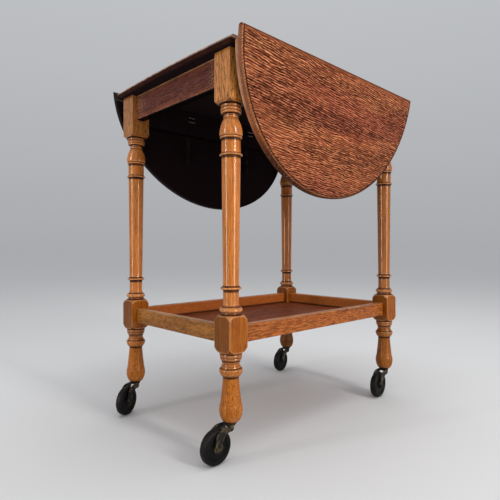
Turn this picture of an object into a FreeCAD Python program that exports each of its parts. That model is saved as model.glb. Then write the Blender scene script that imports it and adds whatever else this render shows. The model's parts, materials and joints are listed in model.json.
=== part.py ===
"""Oval drop leaf tea trolley: turned legs on castors, a lower tray and a top with two hinged leaves.

Millimetres, +Z up. X runs along the long side, -Y is the near side. The origin is on the floor,
under the middle of the overall box. The leaves hang and the castors trail as they do when the
trolley has just been pushed.
"""

import FreeCAD, Part
import math
import os

# --- legs -------------------------------------------------------------------------------------
LEG_INSET_X = 29.0           # leg axis from the end of the boards
LEG_INSET_Y = 32.5           # leg axis from the long edge of the top
LEG_BLOCK = 41.3             # side of the square blocks, 1 5/8 inch
LEG_FOOT_Z = 64.0            # underside of the leg above the floor
LOWER_BLOCK_Z = 182.4        # underside of the block that holds the tray rails
LOWER_BLOCK_HEIGHT = 68.6
UPPER_BLOCK_Z = 616.0        # underside of the block that holds the aprons
LOWER_SHOULDER = 13.5        # turned shoulders at both ends of the lower block
LOWER_FULLNESS = 0.72        # share of the shoulder's growth reached half way up
UPPER_SHOULDER = 8.5         # turned shoulder under the upper block
UPPER_FULLNESS = 0.84
SHOULDER_RADIUS = 17.4       # where a shoulder starts

# Each stretch of the turning is (rise, radius half way up or None for a straight one, end radius).
FOOT_START_RADIUS = 11.5
FOOT_TURNING = (
    (5.0, 15.0, 16.8), (27.0, 20.4, 18.7),                     # toe and belly of the vase
    (42.5, 16.1, 14.2), (5.0, None, 14.0), (0.0, None, 15.8),  # stem of the vase
    (8.2, 18.8, 20.3), (4.6, 20.7, 20.1),                      # underside and crest of the ball
    (5.0, 17.8, 16.9), (0.0, None, 16.3),                      # flare and step above it
    (6.2, 15.5, 15.5), (0.0, None, 16.3), (3.4, None, 16.3),   # cove and band
    (0.0, None, 15.2), (0.8, None, 15.2), (0.0, None, 17.5),   # quirk
    (4.6, 19.0, 18.5), (0.0, None, 17.5), (0.8, None, 17.5),   # lower disc and quirk
    (0.0, None, 19.2),
)
FOOT_COLLAR_RADIUS = 19.9    # upper disc, which closes the foot under the lower block
FOOT_COLLAR_END = 19.0
SHAFT_START = (
    (4.4, 16.9, 17.2), (0.0, None, 19.3),                      # neck over the lower block
    (5.2, 20.3, 19.4), (2.5, 18.6, 17.2), (0.0, None, 16.0),   # bead
    (1.4, None, 15.6), (3.4, 14.3, 13.9), (24.5, None, 13.8),  # fillet, cove and short shaft
    (1.4, None, 17.4), (3.4, 18.8, 17.8), (3.6, 15.2, 14.0),   # lower ring
)
SHAFT_TOP_RADIUS = 16.7
SHAFT_END = (
    (1.4, None, 19.3), (2.6, 20.3, 19.5), (3.4, 17.8, 17.1),   # upper ring
    (23.9, None, 16.9), (0.0, None, 17.9), (3.6, 19.3, 18.5),  # cylinder and bead
    (0.0, None, 17.6), (0.9, None, 17.6), (0.0, None, 19.3),   # quirk under the bulb
    (7.2, 20.3, 20.4), (24.3, 17.8, 12.6), (0.0, None, 13.4),  # bulb
    (2.6, None, 13.4), (0.0, None, 12.0), (4.6, 11.7, 12.4),   # fillet and neck
    (0.0, None, 16.4), (4.3, 18.1, 17.2), (0.0, None, 16.2), (0.6, None, 16.2),
    (0.0, None, 17.4), (4.9, 18.6, 17.4), (0.0, None, 16.2), (0.6, None, 16.2),
    (0.0, None, 16.9), (6.5, 17.9, 16.9),                      # three rings under the block
)

# --- frame and tray ---------------------------------------------------------------------------
RAIL_THICKNESS = 18.0        # aprons and tray rails, on the leg axes
END_APRON_HEIGHT = 54.0
SIDE_APRON_HEIGHT = 60.0
TRAY_RAIL_Z = 198.5
TRAY_RAIL_HEIGHT = 31.5
RAIL_EDGE_ROUND = 2.5
TENON_LENGTH = 16.0
TENON_THICKNESS = 8.0
TENON_SHOULDER = 6.0         # from the rail's edge to the tenon's
TENON_CLEARANCE = 0.1
TRAY_PANEL_THICKNESS = 5.0
REBATE_WIDTH = 6.0           # step under the rails' inner edges, as high as the panel
PANEL_CLEARANCE = 0.3
CORNER_BLOCK_LEG = 50.0      # along each apron, from the leg
CORNER_BLOCK_HEIGHT = 22.0

# --- top and leaves ---------------------------------------------------------------------------
TOP_Z = 722.5                # upper face above the floor
BOARD_THICKNESS = 16.5
BOARD_LENGTH = 570.0         # along the joint between the top and a leaf
TOP_WIDTH = 395.0
TOP_BOW = 4.5                # how far the ends of the top curve out
LEAF_DEPTH = 264.0
JOINT_GAP = 0.8              # between the top and a raised leaf
MOULD_WIDTH = 6.0            # band round the moulded edge
MOULD_STEP = 1.5
MOULD_ROUND = 5.5
MOULD_UNDER_ROUND = 2.5
LONG_EDGE_ROUND = 1.5        # along the joint
LIP_ROUND = 2.0              # upper edge of a leaf along the joint
LIP_UNDER_ROUND = 5.5        # lower edge of its lip
LIP_COVE = 8.3               # hollow that leaves the lip standing

# --- leaf joint -------------------------------------------------------------------------------
LEAF_LEAN = 8.5              # a hanging leaf leans in under the top, degrees
PIVOT_IN = 16.9              # hinge axis from the leaf's edge
PIVOT_DROP = 8.2             # hinge axis below the leaf's upper face
POCKET_RADIUS = 12.0         # deeper hollow at each hinge, which clears its barrel
POCKET_GAP = 1.0             # between the hollow and each end of the barrel
HINGE_INSET = 95.0           # middle of an outer hinge from the end of the boards
HINGE_WIDTH = 44.0
HINGE_PLATE = 2.0
HINGE_BARREL_RADIUS = 3.2
HINGE_PIN_RADIUS = 1.5
PIN_CLEARANCE = 0.05
HINGE_TONGUE = 14.0
HINGE_EYE = 8.0              # length of each of the flap's two eyes
HINGE_SIDE_GAP = 0.3
STRAP_DEPTH = 18.0           # plate under the top, inwards from its edge
STRAP_BEND = 1.5             # from the top's edge to where the strap is cranked
FLAP_DEPTH = 30.0            # plate under the leaf, from the cove's end

# --- leaf stays -------------------------------------------------------------------------------
STAY_SPREAD = 202.0          # between the two stays of a leaf
STAY_DROP = 22.0             # axis below the boards' underside
STAY_STANDOFF = 8.3          # axis from the apron
STAY_LEAN = 1.5              # folded stay from the vertical, degrees
STAY_REACH = 98.5            # from the axis to the centre of the round tip
STAY_WIDTH = 10.0
STAY_THICKNESS = 4.0
STAY_PIN_RADIUS = 2.5
BRACKET_PLATE = 1.8
BRACKET_WIDTH = 30.0
BRACKET_HEIGHT = 30.0
BRACKET_EAR = 4.8            # from the axis to the ear's outer edge

# --- castors ----------------------------------------------------------------------------------
WHEEL_RADIUS = 30.0
WHEEL_WIDTH = 15.5
WHEEL_RING_RADIUS = 20.0     # step between the disc and the tread
WHEEL_DISH = 1.4
TREAD_ROUND = 3.5
TREAD_STEPS = ((1.0, 0.0), (0.33, 0.45), (0.0, 1.3))  # shares of the round in from the rim and the side
HUB_RADIUS = 9.0
HUB_WIDTH = 18.0
AXLE_RADIUS = 3.0
AXLE_HEAD_RADIUS = 5.0
AXLE_HEAD = 1.3
AXLE_CLEARANCE = 0.06
CASTOR_TRAIL = 35.0
HORN_PLATE = 2.0
HORN_TOP_RADIUS = 9.5        # round plate about the stem
HORN_FRONT = 3.0             # front of the cheeks, behind the stem's axis
HORN_BRIDGE = 14.0           # end of the bridge that joins the cheeks at the top
HORN_CROWN = 19.0            # where a cheek's back leaves the top
HORN_BACK = 7.3              # cheek's back behind the axle
HORN_CHIN = 10.5             # depth of the cheek at its front
HORN_WAIST = 8.0             # cheek's inner edge before the axle
HORN_BOSS_RADIUS = 6.5
HORN_SIDE_GAP = 0.3
STEM_RADIUS = 5.0
STEM_LENGTH = 40.0
STEM_CLEARANCE = 0.08
SOCKET_WALL = 2.0
SOCKET_FLANGE_RADIUS = 10.5
SOCKET_FLANGE = 1.5
SWIVEL_GAP = 0.3

# Legs as (name, side along X, side along Y, direction in which the castor trails in degrees).
LEGS = (
    ("near_left", -1, -1, 181.0),
    ("near_right", 1, -1, 185.0),
    ("far_left", -1, 1, 206.0),
    ("far_right", 1, 1, 191.0),
)
SIDES = (("near", -1), ("far", 1))
ENDS = (("left", -1), ("right", 1))

# --- worked out -------------------------------------------------------------------------------
OVERRUN = 1.0                # how far a cutter runs past what it cuts
TOUCH = 0.01                 # heights closer than this are the same
BOARD_Z = TOP_Z - BOARD_THICKNESS
END_APRON_Z = BOARD_Z - END_APRON_HEIGHT
SIDE_APRON_Z = BOARD_Z - SIDE_APRON_HEIGHT
HALF_BLOCK = LEG_BLOCK / 2
HALF_RAIL = RAIL_THICKNESS / 2
HALF_LENGTH = BOARD_LENGTH / 2
TOP_EDGE_Y = TOP_WIDTH / 2
LEG_X = HALF_LENGTH - LEG_INSET_X
LEG_Y = TOP_EDGE_Y - LEG_INSET_Y
LEAF_EDGE_Y = TOP_EDGE_Y + JOINT_GAP
PIVOT_Y = LEAF_EDGE_Y + PIVOT_IN
PIVOT_Z = TOP_Z - PIVOT_DROP
STAY_AXIS_Y = LEG_Y + HALF_RAIL + STAY_STANDOFF
STAY_AXIS_Z = BOARD_Z - STAY_DROP
PANEL_TOP_Z = TRAY_RAIL_Z + TRAY_PANEL_THICKNESS
SOCKET_RADIUS = STEM_RADIUS + STEM_CLEARANCE + SOCKET_WALL
SOCKET_BASE_Z = LEG_FOOT_Z - SOCKET_FLANGE
SOCKET_TOP_Z = SOCKET_BASE_Z + STEM_LENGTH + SWIVEL_GAP
HORN_TOP_Z = SOCKET_BASE_Z - SWIVEL_GAP
CHEEK_Y = HUB_WIDTH / 2 + HORN_SIDE_GAP
HORN_Y = CHEEK_Y + HORN_PLATE
BARREL_REACH = HINGE_TONGUE / 2 + HINGE_SIDE_GAP + HINGE_EYE
X_AXIS = FreeCAD.Vector(1, 0, 0)
Y_AXIS = FreeCAD.Vector(0, 1, 0)
Z_AXIS = FreeCAD.Vector(0, 0, 1)


def vec(x, y, z):
    return FreeCAD.Vector(x, y, z)


def box(x, y, z):
    """Box from three (low, high) pairs."""
    size = [high - low for low, high in (x, y, z)]
    return Part.makeBox(*size, vec(x[0], y[0], z[0]))


def cylinder(radius, start, axis, length):
    return Part.makeCylinder(radius, length, start, axis)


def along_x(radius, y, z, x_low, x_high):
    return cylinder(radius, vec(x_low, y, z), X_AXIS, x_high - x_low)


def fused(solids):
    return solids[0].multiFuse(solids[1:]).removeSplitter()


def prism(points, direction):
    """Extrusion of a closed polygon."""
    return Part.Face(Part.makePolygon(points + points[:1])).extrude(direction)


def turned(edges):
    """Solid turned about Z from the edges of a closed half outline."""
    return Part.Face(Part.Wire(edges)).revolve(vec(0, 0, 0), Z_AXIS, 360)


def arris(radius, y, z, inward_y, inward_z):
    """What a rounded edge along X takes off a square one."""
    reach = BOARD_LENGTH
    axis_y, axis_z = y + inward_y * radius, z + inward_z * radius
    corner = box((-reach, reach), sorted((y - inward_y, axis_y)), sorted((z - inward_z, axis_z)))
    return corner.cut(along_x(radius, axis_y, axis_z, -reach, reach))


def mirrored_to(shape, side):
    """A shape drawn for the near side, taken to the far side when side is 1."""
    return shape.mirror(vec(0, 0, 0), Y_AXIS) if side > 0 else shape


def write(name, solids):
    """One STEP file per node, moved so that the overall box is centred on the origin."""
    shape = Part.makeCompound(solids) if len(solids) > 1 else solids[0]
    shape.translated(vec(ORIGIN_SHIFT, 0, 0)).exportStep("parts/" + name + ".step")


# --- turned legs ------------------------------------------------------------------------------
def turning_edges(z, radius, stretches):
    """Outline edges of a turning, from the bottom up, and the point where they end."""
    edges = []
    for rise, middle, end in stretches:
        low, high = vec(radius, 0, z), vec(end, 0, z + rise)
        if middle is None:
            edges.append(Part.LineSegment(low, high).toShape())
        else:
            edges.append(Part.Arc(low, vec(middle, 0, z + rise / 2), high).toShape())
        z, radius = z + rise, end
    return edges, z, radius


def turning(z, radius, stretches):
    """Solid turning that starts at a height and a radius."""
    edges, top, end = turning_edges(z, radius, stretches)
    outline = [Part.makeLine(vec(0, 0, z), vec(radius, 0, z))] + edges
    outline += [Part.makeLine(vec(end, 0, top), vec(0, 0, top)), Part.makeLine(vec(0, 0, top), vec(0, 0, z))]
    return turned(outline)


def block(low, high, shoulder, fullness, upper_shoulder):
    """Square block whose corners are turned away to round shoulders."""
    corner = HALF_BLOCK * math.sqrt(2) + OVERRUN
    middle = SHOULDER_RADIUS + (corner - SHOULDER_RADIUS) * fullness
    straight = high - low - shoulder * (2 if upper_shoulder else 1)
    stretches = [(shoulder, middle, corner), (straight, None, corner)]
    if upper_shoulder:
        stretches.append((shoulder, middle, SHOULDER_RADIUS))
    blank = box((-HALF_BLOCK, HALF_BLOCK), (-HALF_BLOCK, HALF_BLOCK), (low, high))
    return blank.common(turning(low, SHOULDER_RADIUS, stretches))


def rise(stretches):
    return sum(stretch[0] for stretch in stretches)


def leg():
    """One leg about its own axis, with the bore for the castor's socket."""
    collar = LOWER_BLOCK_Z - LEG_FOOT_Z - rise(FOOT_TURNING)
    foot = FOOT_TURNING + ((collar, FOOT_COLLAR_RADIUS, FOOT_COLLAR_END),)
    lower_top = LOWER_BLOCK_Z + LOWER_BLOCK_HEIGHT
    shaft = UPPER_BLOCK_Z - lower_top - rise(SHAFT_START) - rise(SHAFT_END)
    middle = SHAFT_START + ((shaft, None, SHAFT_TOP_RADIUS),) + SHAFT_END
    bore = cylinder(SOCKET_RADIUS, vec(0, 0, LEG_FOOT_Z), Z_AXIS, SOCKET_TOP_Z - LEG_FOOT_Z)
    whole = fused([
        turning(LEG_FOOT_Z, FOOT_START_RADIUS, foot),
        block(LOWER_BLOCK_Z, lower_top, LOWER_SHOULDER, LOWER_FULLNESS, True),
        turning(lower_top, SHOULDER_RADIUS, middle),
        block(UPPER_BLOCK_Z, BOARD_Z, UPPER_SHOULDER, UPPER_FULLNESS, False),
    ])
    return whole.cut(bore)


# --- rails ------------------------------------------------------------------------------------
def tenon_box(z, height, growth):
    """Tenon along +X from a leg's face, before it is turned and moved to its rail's end."""
    half = TENON_THICKNESS / 2 + growth
    return box((HALF_BLOCK - TENON_LENGTH - growth, HALF_BLOCK), (-half, half),
               (z + TENON_SHOULDER - growth, z + height - TENON_SHOULDER + growth))


def worn_edges(bar, z, length, rebated):
    """Long edges of a rail that are rounded: all but the one where its rebate is cut.

    An apron's upper edges stay square against the top.
    """
    edges = []
    for edge in bar.Edges:
        place = edge.BoundBox
        upper, inner = place.ZMin > z + TOUCH, place.YMin > 0
        kept = inner and not upper if rebated else upper
        if place.XLength > length / 2 and not kept:
            edges.append(edge)
    return edges


def rail(length, z, height, rebated):
    """Rail centred on its own length along X, with a tenon at each end and its inner face at +Y."""
    half = length / 2 - HALF_BLOCK
    bar = box((-half, half), (-HALF_RAIL, HALF_RAIL), (z, z + height))
    bar = bar.makeFillet(RAIL_EDGE_ROUND, worn_edges(bar, z, half, rebated))
    if rebated:
        bar = bar.cut(box((-half, half), (HALF_RAIL - REBATE_WIDTH, HALF_RAIL), (z, PANEL_TOP_Z)))
    tenon = tenon_box(z, height, 0)
    ends = []
    for angle in (0, 180):
        end = tenon.translated(vec(-length / 2, 0, 0))
        end.rotate(vec(0, 0, 0), Z_AXIS, angle)
        ends.append(end)
    return fused([bar] + ends)


def mortises(side_x, side_y):
    """Cuts for the four tenons that meet in one leg, about the leg's axis."""
    along, across = (0 if side_x < 0 else 180), (90 if side_y < 0 else 270)
    tenons = ((TRAY_RAIL_Z, TRAY_RAIL_HEIGHT, along), (TRAY_RAIL_Z, TRAY_RAIL_HEIGHT, across),
              (SIDE_APRON_Z, SIDE_APRON_HEIGHT, along), (END_APRON_Z, END_APRON_HEIGHT, across))
    cuts = []
    for z, height, angle in tenons:
        cut = tenon_box(z, height, TENON_CLEARANCE)
        cut.rotate(vec(0, 0, 0), Z_AXIS, angle)
        cuts.append(cut)
    return cuts


def make_legs():
    blank = leg()
    for name, side_x, side_y, _ in LEGS:
        shape = blank.cut(mortises(side_x, side_y))
        shape.translate(vec(side_x * LEG_X, side_y * LEG_Y, 0))
        write("leg_" + name, [shape])


def make_rails():
    """Aprons under the top and rails round the tray, which have a rebate for its panel."""
    side_apron, end_apron = (SIDE_APRON_Z, SIDE_APRON_HEIGHT), (END_APRON_Z, END_APRON_HEIGHT)
    tray = (TRAY_RAIL_Z, TRAY_RAIL_HEIGHT)
    kinds = (("apron", side_apron, end_apron, False), ("tray_rail", tray, tray, True))
    for kind, along, across, rebated in kinds:
        for name, side in SIDES:
            bar = rail(LEG_X * 2, *along, rebated)
            bar.rotate(vec(0, 0, 0), Z_AXIS, 0 if side < 0 else 180)
            write(kind + "_" + name, [bar.translated(vec(0, side * LEG_Y, 0))])
        for name, side in ENDS:
            bar = rail(LEG_Y * 2, *across, rebated)
            bar.rotate(vec(0, 0, 0), Z_AXIS, -90 if side < 0 else 90)
            write(kind + "_" + name, [bar.translated(vec(side * LEG_X, 0, 0))])


def make_tray_panel():
    """Panel in the rails' rebates, notched round the legs."""
    inset = HALF_RAIL - REBATE_WIDTH + PANEL_CLEARANCE
    x, y = LEG_X - inset, LEG_Y - inset
    panel = box((-x, x), (-y, y), (TRAY_RAIL_Z, PANEL_TOP_Z))
    notch = HALF_BLOCK + PANEL_CLEARANCE
    for _, side_x, side_y, _ in LEGS:
        cut = box((-notch, notch), (-notch, notch), (TRAY_RAIL_Z - OVERRUN, PANEL_TOP_Z + OVERRUN))
        cut.translate(vec(side_x * LEG_X, side_y * LEG_Y, 0))
        panel = panel.cut(cut)
    write("tray_panel", [panel])


def make_corner_blocks():
    """Glue blocks that tie the aprons and the top together behind each leg."""
    low = BOARD_Z - CORNER_BLOCK_HEIGHT
    inner_x, inner_y = LEG_X - HALF_RAIL, LEG_Y - HALF_RAIL
    leg_x, leg_y = LEG_X - HALF_BLOCK, LEG_Y - HALF_BLOCK
    plan = ((inner_x, leg_y), (inner_x, leg_y - CORNER_BLOCK_LEG), (leg_x - CORNER_BLOCK_LEG, inner_y),
            (leg_x, inner_y), (leg_x, leg_y))
    blocks = []
    for _, side_x, side_y, _ in LEGS:
        points = [vec(side_x * x, side_y * y, low) for x, y in plan]
        blocks.append(prism(points, vec(0, 0, CORNER_BLOCK_HEIGHT)))
    write("corner_blocks", blocks)


# --- top and leaves ---------------------------------------------------------------------------
def free_edges(slab, z, is_joint):
    """Edges of a slab's face at a height, without those along the joint of top and leaf."""
    level = [edge for edge in slab.Edges if edge.BoundBox.ZLength < TOUCH]
    return [edge for edge in level if abs(edge.BoundBox.ZMin - z) < TOUCH and not is_joint(edge)]


def moulded(outline, is_joint):
    """Board with rounded free edges and a narrower upper layer that makes the moulding's step."""
    step_z = TOP_Z - MOULD_STEP
    lower = outline(0, BOARD_Z).extrude(vec(0, 0, step_z - BOARD_Z))
    lower = lower.makeFillet(MOULD_ROUND, free_edges(lower, step_z, is_joint))
    lower = lower.makeFillet(MOULD_UNDER_ROUND, free_edges(lower, BOARD_Z, is_joint))
    return fused([lower, outline(MOULD_WIDTH, step_z).extrude(vec(0, 0, MOULD_STEP))])


def runs_along_joint(edge):
    return edge.BoundBox.YLength < TOUCH


def top_outline(inset, z):
    """Plan of the fixed top: straight long sides and gently bowed ends."""
    x, y = HALF_LENGTH - inset, TOP_EDGE_Y
    ends = [Part.Arc(vec(side * x, -y, z), vec(side * (x + TOP_BOW), 0, z), vec(side * x, y, z)).toShape()
            for _, side in ENDS]
    sides = [Part.makeLine(vec(-x, side * y, z), vec(x, side * y, z)) for _, side in SIDES]
    return Part.Face(Part.Wire(Part.__sortEdges__(ends + sides)))


def make_top():
    board = moulded(top_outline, runs_along_joint)
    worn = [arris(LONG_EDGE_ROUND, side * TOP_EDGE_Y, z, -side, inward)
            for _, side in SIDES for z, inward in ((TOP_Z, -1), (BOARD_Z, 1))]
    write("top_panel", [board.cut(worn)])


def leaf_outline(inset, z):
    """Plan of the near leaf when it is raised: half an oval against the joint."""
    centre = vec(0, -LEAF_EDGE_Y, z)
    along, across = vec(HALF_LENGTH - inset, 0, 0), vec(0, inset - LEAF_DEPTH, 0)
    longer, shorter = (along, across) if along.Length > across.Length else (across, along)
    oval = Part.Face(Part.Wire(Part.Ellipse(centre + longer, centre + shorter, centre).toShape()))
    keep_y = (-LEAF_EDGE_Y - LEAF_DEPTH, -LEAF_EDGE_Y)
    keep = box((-HALF_LENGTH, HALF_LENGTH), keep_y, (z - OVERRUN, z + OVERRUN))
    return oval.common(keep).Faces[0]


def leaf_hollow(radius, low_x, high_x):
    """Cuts of a given depth under the leaf's joint edge, as far in as the hinge axis and a cove."""
    return [box((low_x, high_x), (-PIVOT_Y, -TOP_EDGE_Y), (BOARD_Z - OVERRUN, BOARD_Z + radius)),
            along_x(radius, -PIVOT_Y, BOARD_Z, low_x, high_x)]


def hinge_places():
    """Middles of the hinges along the joint."""
    outer = HALF_LENGTH - HINGE_INSET
    return (-outer, 0, outer)


def raised_leaf():
    """The near leaf in its raised place, with its lip and the hinge pockets."""
    reach = HALF_LENGTH + OVERRUN
    cuts = leaf_hollow(LIP_COVE, -reach, reach)
    for x in hinge_places():
        cuts += leaf_hollow(POCKET_RADIUS, x - BARREL_REACH - POCKET_GAP, x + BARREL_REACH + POCKET_GAP)
    cuts.append(arris(LIP_ROUND, -LEAF_EDGE_Y, TOP_Z, -1, -1))
    cuts.append(arris(LIP_UNDER_ROUND, -LEAF_EDGE_Y, BOARD_Z + LIP_COVE, -1, 1))
    return moulded(leaf_outline, runs_along_joint).cut(cuts)


def hang(shape):
    """A near piece of the raised leaf, swung down about the hinge axis to where it hangs."""
    shape.rotate(vec(0, -PIVOT_Y, PIVOT_Z), X_AXIS, 90 + LEAF_LEAN)
    return shape


def make_leaves():
    board = hang(raised_leaf())
    for name, side in SIDES:
        write("leaf_" + name, [mirrored_to(board, side)])


# --- hinges -----------------------------------------------------------------------------------
def crank(y, z, end_y, end_z, x_low, x_high):
    """Flat bar between two points of the YZ plane."""
    length = math.hypot(end_y - y, end_z - z)
    bar = box((x_low, x_high), (0, length), (-HINGE_PLATE / 2, HINGE_PLATE / 2))
    bar.rotate(vec(0, 0, 0), X_AXIS, math.degrees(math.atan2(end_z - z, end_y - y)))
    bar.translate(vec(0, y, z))
    return bar


def hinge_strap():
    """Fixed half: a plate under the top whose cranked tongue ends in an eye."""
    half = HINGE_TONGUE / 2
    plate_z = BOARD_Z - HINGE_PLATE
    bend_y = -TOP_EDGE_Y - STRAP_BEND
    plate_y = (-TOP_EDGE_Y, -TOP_EDGE_Y + STRAP_DEPTH)
    plate = box((-HINGE_WIDTH / 2, HINGE_WIDTH / 2), plate_y, (plate_z, BOARD_Z))
    tongue = box((-half, half), (bend_y, -TOP_EDGE_Y), (plate_z, BOARD_Z))
    slope = crank(-PIVOT_Y, PIVOT_Z, bend_y, BOARD_Z - HINGE_PLATE / 2, -half, half)
    eye = along_x(HINGE_BARREL_RADIUS, -PIVOT_Y, PIVOT_Z, -half, half)
    return fused([plate, tongue, slope, eye]).cut(hinge_pin_hole())


def hinge_flap():
    """Moving half, drawn with the leaf raised: two eyes that meet a plate under the leaf."""
    inner = HINGE_TONGUE / 2 + HINGE_SIDE_GAP
    plate_y = -PIVOT_Y - POCKET_RADIUS
    bend_y = plate_y + HINGE_PLATE / 2
    middle_z = BOARD_Z - HINGE_PLATE / 2
    pieces = [box((-HINGE_WIDTH / 2, HINGE_WIDTH / 2), (plate_y - FLAP_DEPTH, plate_y - HINGE_PLATE),
                  (BOARD_Z - HINGE_PLATE, BOARD_Z))]
    for side in (-1, 1):
        low, high = sorted((side * inner, side * (inner + HINGE_EYE)))
        pieces.append(box((low, high), (plate_y - HINGE_PLATE, bend_y), (BOARD_Z - HINGE_PLATE, BOARD_Z)))
        pieces.append(crank(-PIVOT_Y, PIVOT_Z, bend_y, middle_z, low, high))
        pieces.append(along_x(HINGE_BARREL_RADIUS, -PIVOT_Y, PIVOT_Z, low, high))
    return fused(pieces).cut(hinge_pin_hole())


def hinge_pin_hole():
    return along_x(HINGE_PIN_RADIUS + PIN_CLEARANCE, -PIVOT_Y, PIVOT_Z, -BARREL_REACH, BARREL_REACH)


def hinge_pin():
    return along_x(HINGE_PIN_RADIUS, -PIVOT_Y, PIVOT_Z, -BARREL_REACH, BARREL_REACH)


def along_joint(shape, places):
    """Copies of a piece at places along X."""
    return [shape.translated(vec(x, 0, 0)) for x in places]


def make_hinges():
    flap = hang(hinge_flap())
    pieces = (("hinge_straps", hinge_strap()), ("hinge_flaps", flap), ("hinge_pins", hinge_pin()))
    for side_name, side in SIDES:
        for name, shape in pieces:
            copies = along_joint(shape, hinge_places())
            write(name + "_" + side_name, [mirrored_to(copy, side) for copy in copies])


# --- stays that hold a raised leaf ------------------------------------------------------------
def stay_arm():
    """Flat bar with round ends, folded down beside the near apron."""
    half = STAY_WIDTH / 2
    x = (-STAY_THICKNESS / 2, STAY_THICKNESS / 2)
    bar = box(x, (-half, half), (-STAY_REACH, 0))
    ends = [along_x(half, 0, z, *x) for z in (0, -STAY_REACH)]
    arm = fused([bar] + ends).cut(along_x(STAY_PIN_RADIUS + PIN_CLEARANCE, 0, 0, *x))
    arm.rotate(vec(0, 0, 0), X_AXIS, STAY_LEAN)
    arm.translate(vec(0, -STAY_AXIS_Y, STAY_AXIS_Z))
    return arm


def stay_bracket():
    """Plate on the near apron with an ear on each side of the stay."""
    face_y = -STAY_AXIS_Y + STAY_STANDOFF
    front_y = face_y - BRACKET_PLATE
    ear_low = STAY_THICKNESS / 2 + HINGE_SIDE_GAP
    plate_z = (STAY_AXIS_Z - BRACKET_HEIGHT / 2, STAY_AXIS_Z + BRACKET_HEIGHT / 2)
    ear_z = (STAY_AXIS_Z - BRACKET_EAR, STAY_AXIS_Z + BRACKET_EAR)
    pieces = [box((-BRACKET_WIDTH / 2, BRACKET_WIDTH / 2), (front_y, face_y), plate_z)]
    for side in (-1, 1):
        x = sorted((side * ear_low, side * (ear_low + BRACKET_PLATE)))
        pieces.append(box(x, (-STAY_AXIS_Y, front_y), ear_z))
        pieces.append(along_x(BRACKET_EAR, -STAY_AXIS_Y, STAY_AXIS_Z, *x))
    return fused(pieces).cut(stay_pin())


def stay_pin():
    reach = STAY_THICKNESS / 2 + HINGE_SIDE_GAP + BRACKET_PLATE
    return along_x(STAY_PIN_RADIUS, -STAY_AXIS_Y, STAY_AXIS_Z, -reach, reach)


def make_stays():
    arm = stay_arm()
    places = (-STAY_SPREAD / 2, STAY_SPREAD / 2)
    for side_name, side in SIDES:
        for (end_name, _), copy in zip(ENDS, along_joint(arm, places)):
            write("stay_" + side_name + "_" + end_name, [mirrored_to(copy, side)])
    for name, shape in (("stay_brackets", stay_bracket()), ("stay_pins", stay_pin())):
        copies = along_joint(shape, places)
        write(name, [mirrored_to(copy, side) for _, side in SIDES for copy in copies])


# --- castors ----------------------------------------------------------------------------------
def to_leg(shape, side_x, side_y, trail):
    """A castor piece, drawn at the origin and trailing along +X, moved under its leg."""
    piece = shape.copy()
    piece.rotate(vec(0, 0, 0), Z_AXIS, trail)
    piece.translate(vec(side_x * LEG_X, side_y * LEG_Y, 0))
    return piece


def about_axle(points):
    """Solid turned about the wheel's axle from (radius, y) points."""
    outline = [vec(radius, y, 0) for radius, y in points]
    shape = Part.Face(Part.makePolygon(outline + outline[:1])).revolve(vec(0, 0, 0), Y_AXIS, 360)
    shape.translate(vec(CASTOR_TRAIL, 0, WHEEL_RADIUS))
    return shape


def wheel():
    """Hard rubber disc with a raised ring and a rounded tread."""
    half, dish = WHEEL_WIDTH / 2, WHEEL_WIDTH / 2 - WHEEL_DISH
    side = [(HUB_RADIUS, dish), (WHEEL_RING_RADIUS, dish), (WHEEL_RING_RADIUS + WHEEL_DISH, half)]
    side += [(WHEEL_RADIUS - TREAD_ROUND * inward, half - TREAD_ROUND * sideways)
             for inward, sideways in TREAD_STEPS]
    return about_axle([(radius, -y) for radius, y in side] + side[::-1])


def hub():
    half, bore = HUB_WIDTH / 2, AXLE_RADIUS + AXLE_CLEARANCE
    return about_axle([(bore, -half), (HUB_RADIUS, -half), (HUB_RADIUS, half), (bore, half)])


def axle():
    """Rivet through the cheeks and the hub, with a flat head at each end."""
    end = HORN_Y + AXLE_HEAD
    half = [(AXLE_RADIUS, HORN_Y), (AXLE_HEAD_RADIUS, HORN_Y), (AXLE_HEAD_RADIUS, end), (0, end)]
    return about_axle([(radius, -y) for radius, y in half[::-1]] + half)


def cheek_outline(y):
    """Side of the horn: a crescent from the swivel plate, back over the wheel and down to the axle."""
    top, low = HORN_TOP_Z, HORN_TOP_Z - HORN_CHIN
    axle_x, axle_z = CASTOR_TRAIL, WHEEL_RADIUS
    nose, crown = vec(HORN_FRONT, y, top), vec(HORN_CROWN, y, top)
    back = vec(axle_x + HORN_BACK, y, (top + axle_z) / 2)
    heel = vec(axle_x + HORN_BOSS_RADIUS, y, axle_z)
    sole = vec(axle_x, y, axle_z - HORN_BOSS_RADIUS)
    toe = vec(axle_x - HORN_BOSS_RADIUS, y, axle_z)
    waist = vec(axle_x - HORN_WAIST, y, (low + axle_z) / 2)
    throat = vec((HORN_FRONT + HORN_CROWN) / 2 + HORN_CHIN / 3, y, low)
    jaw = vec(HORN_FRONT + HORN_CHIN / 2, y, low)
    cheek = vec(HORN_FRONT, y, top - HORN_CHIN / 2)
    lip = HORN_CHIN / 2 * (1 - math.sqrt(0.5))
    edges = [Part.makeLine(nose, crown), Part.Arc(crown, back, heel).toShape(),
             Part.Arc(heel, sole, toe).toShape(), Part.Arc(toe, waist, throat).toShape(),
             Part.makeLine(throat, jaw), Part.Arc(jaw, vec(HORN_FRONT + lip, y, low + lip), cheek).toShape(),
             Part.makeLine(cheek, nose)]
    return Part.Face(Part.Wire(edges))


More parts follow.
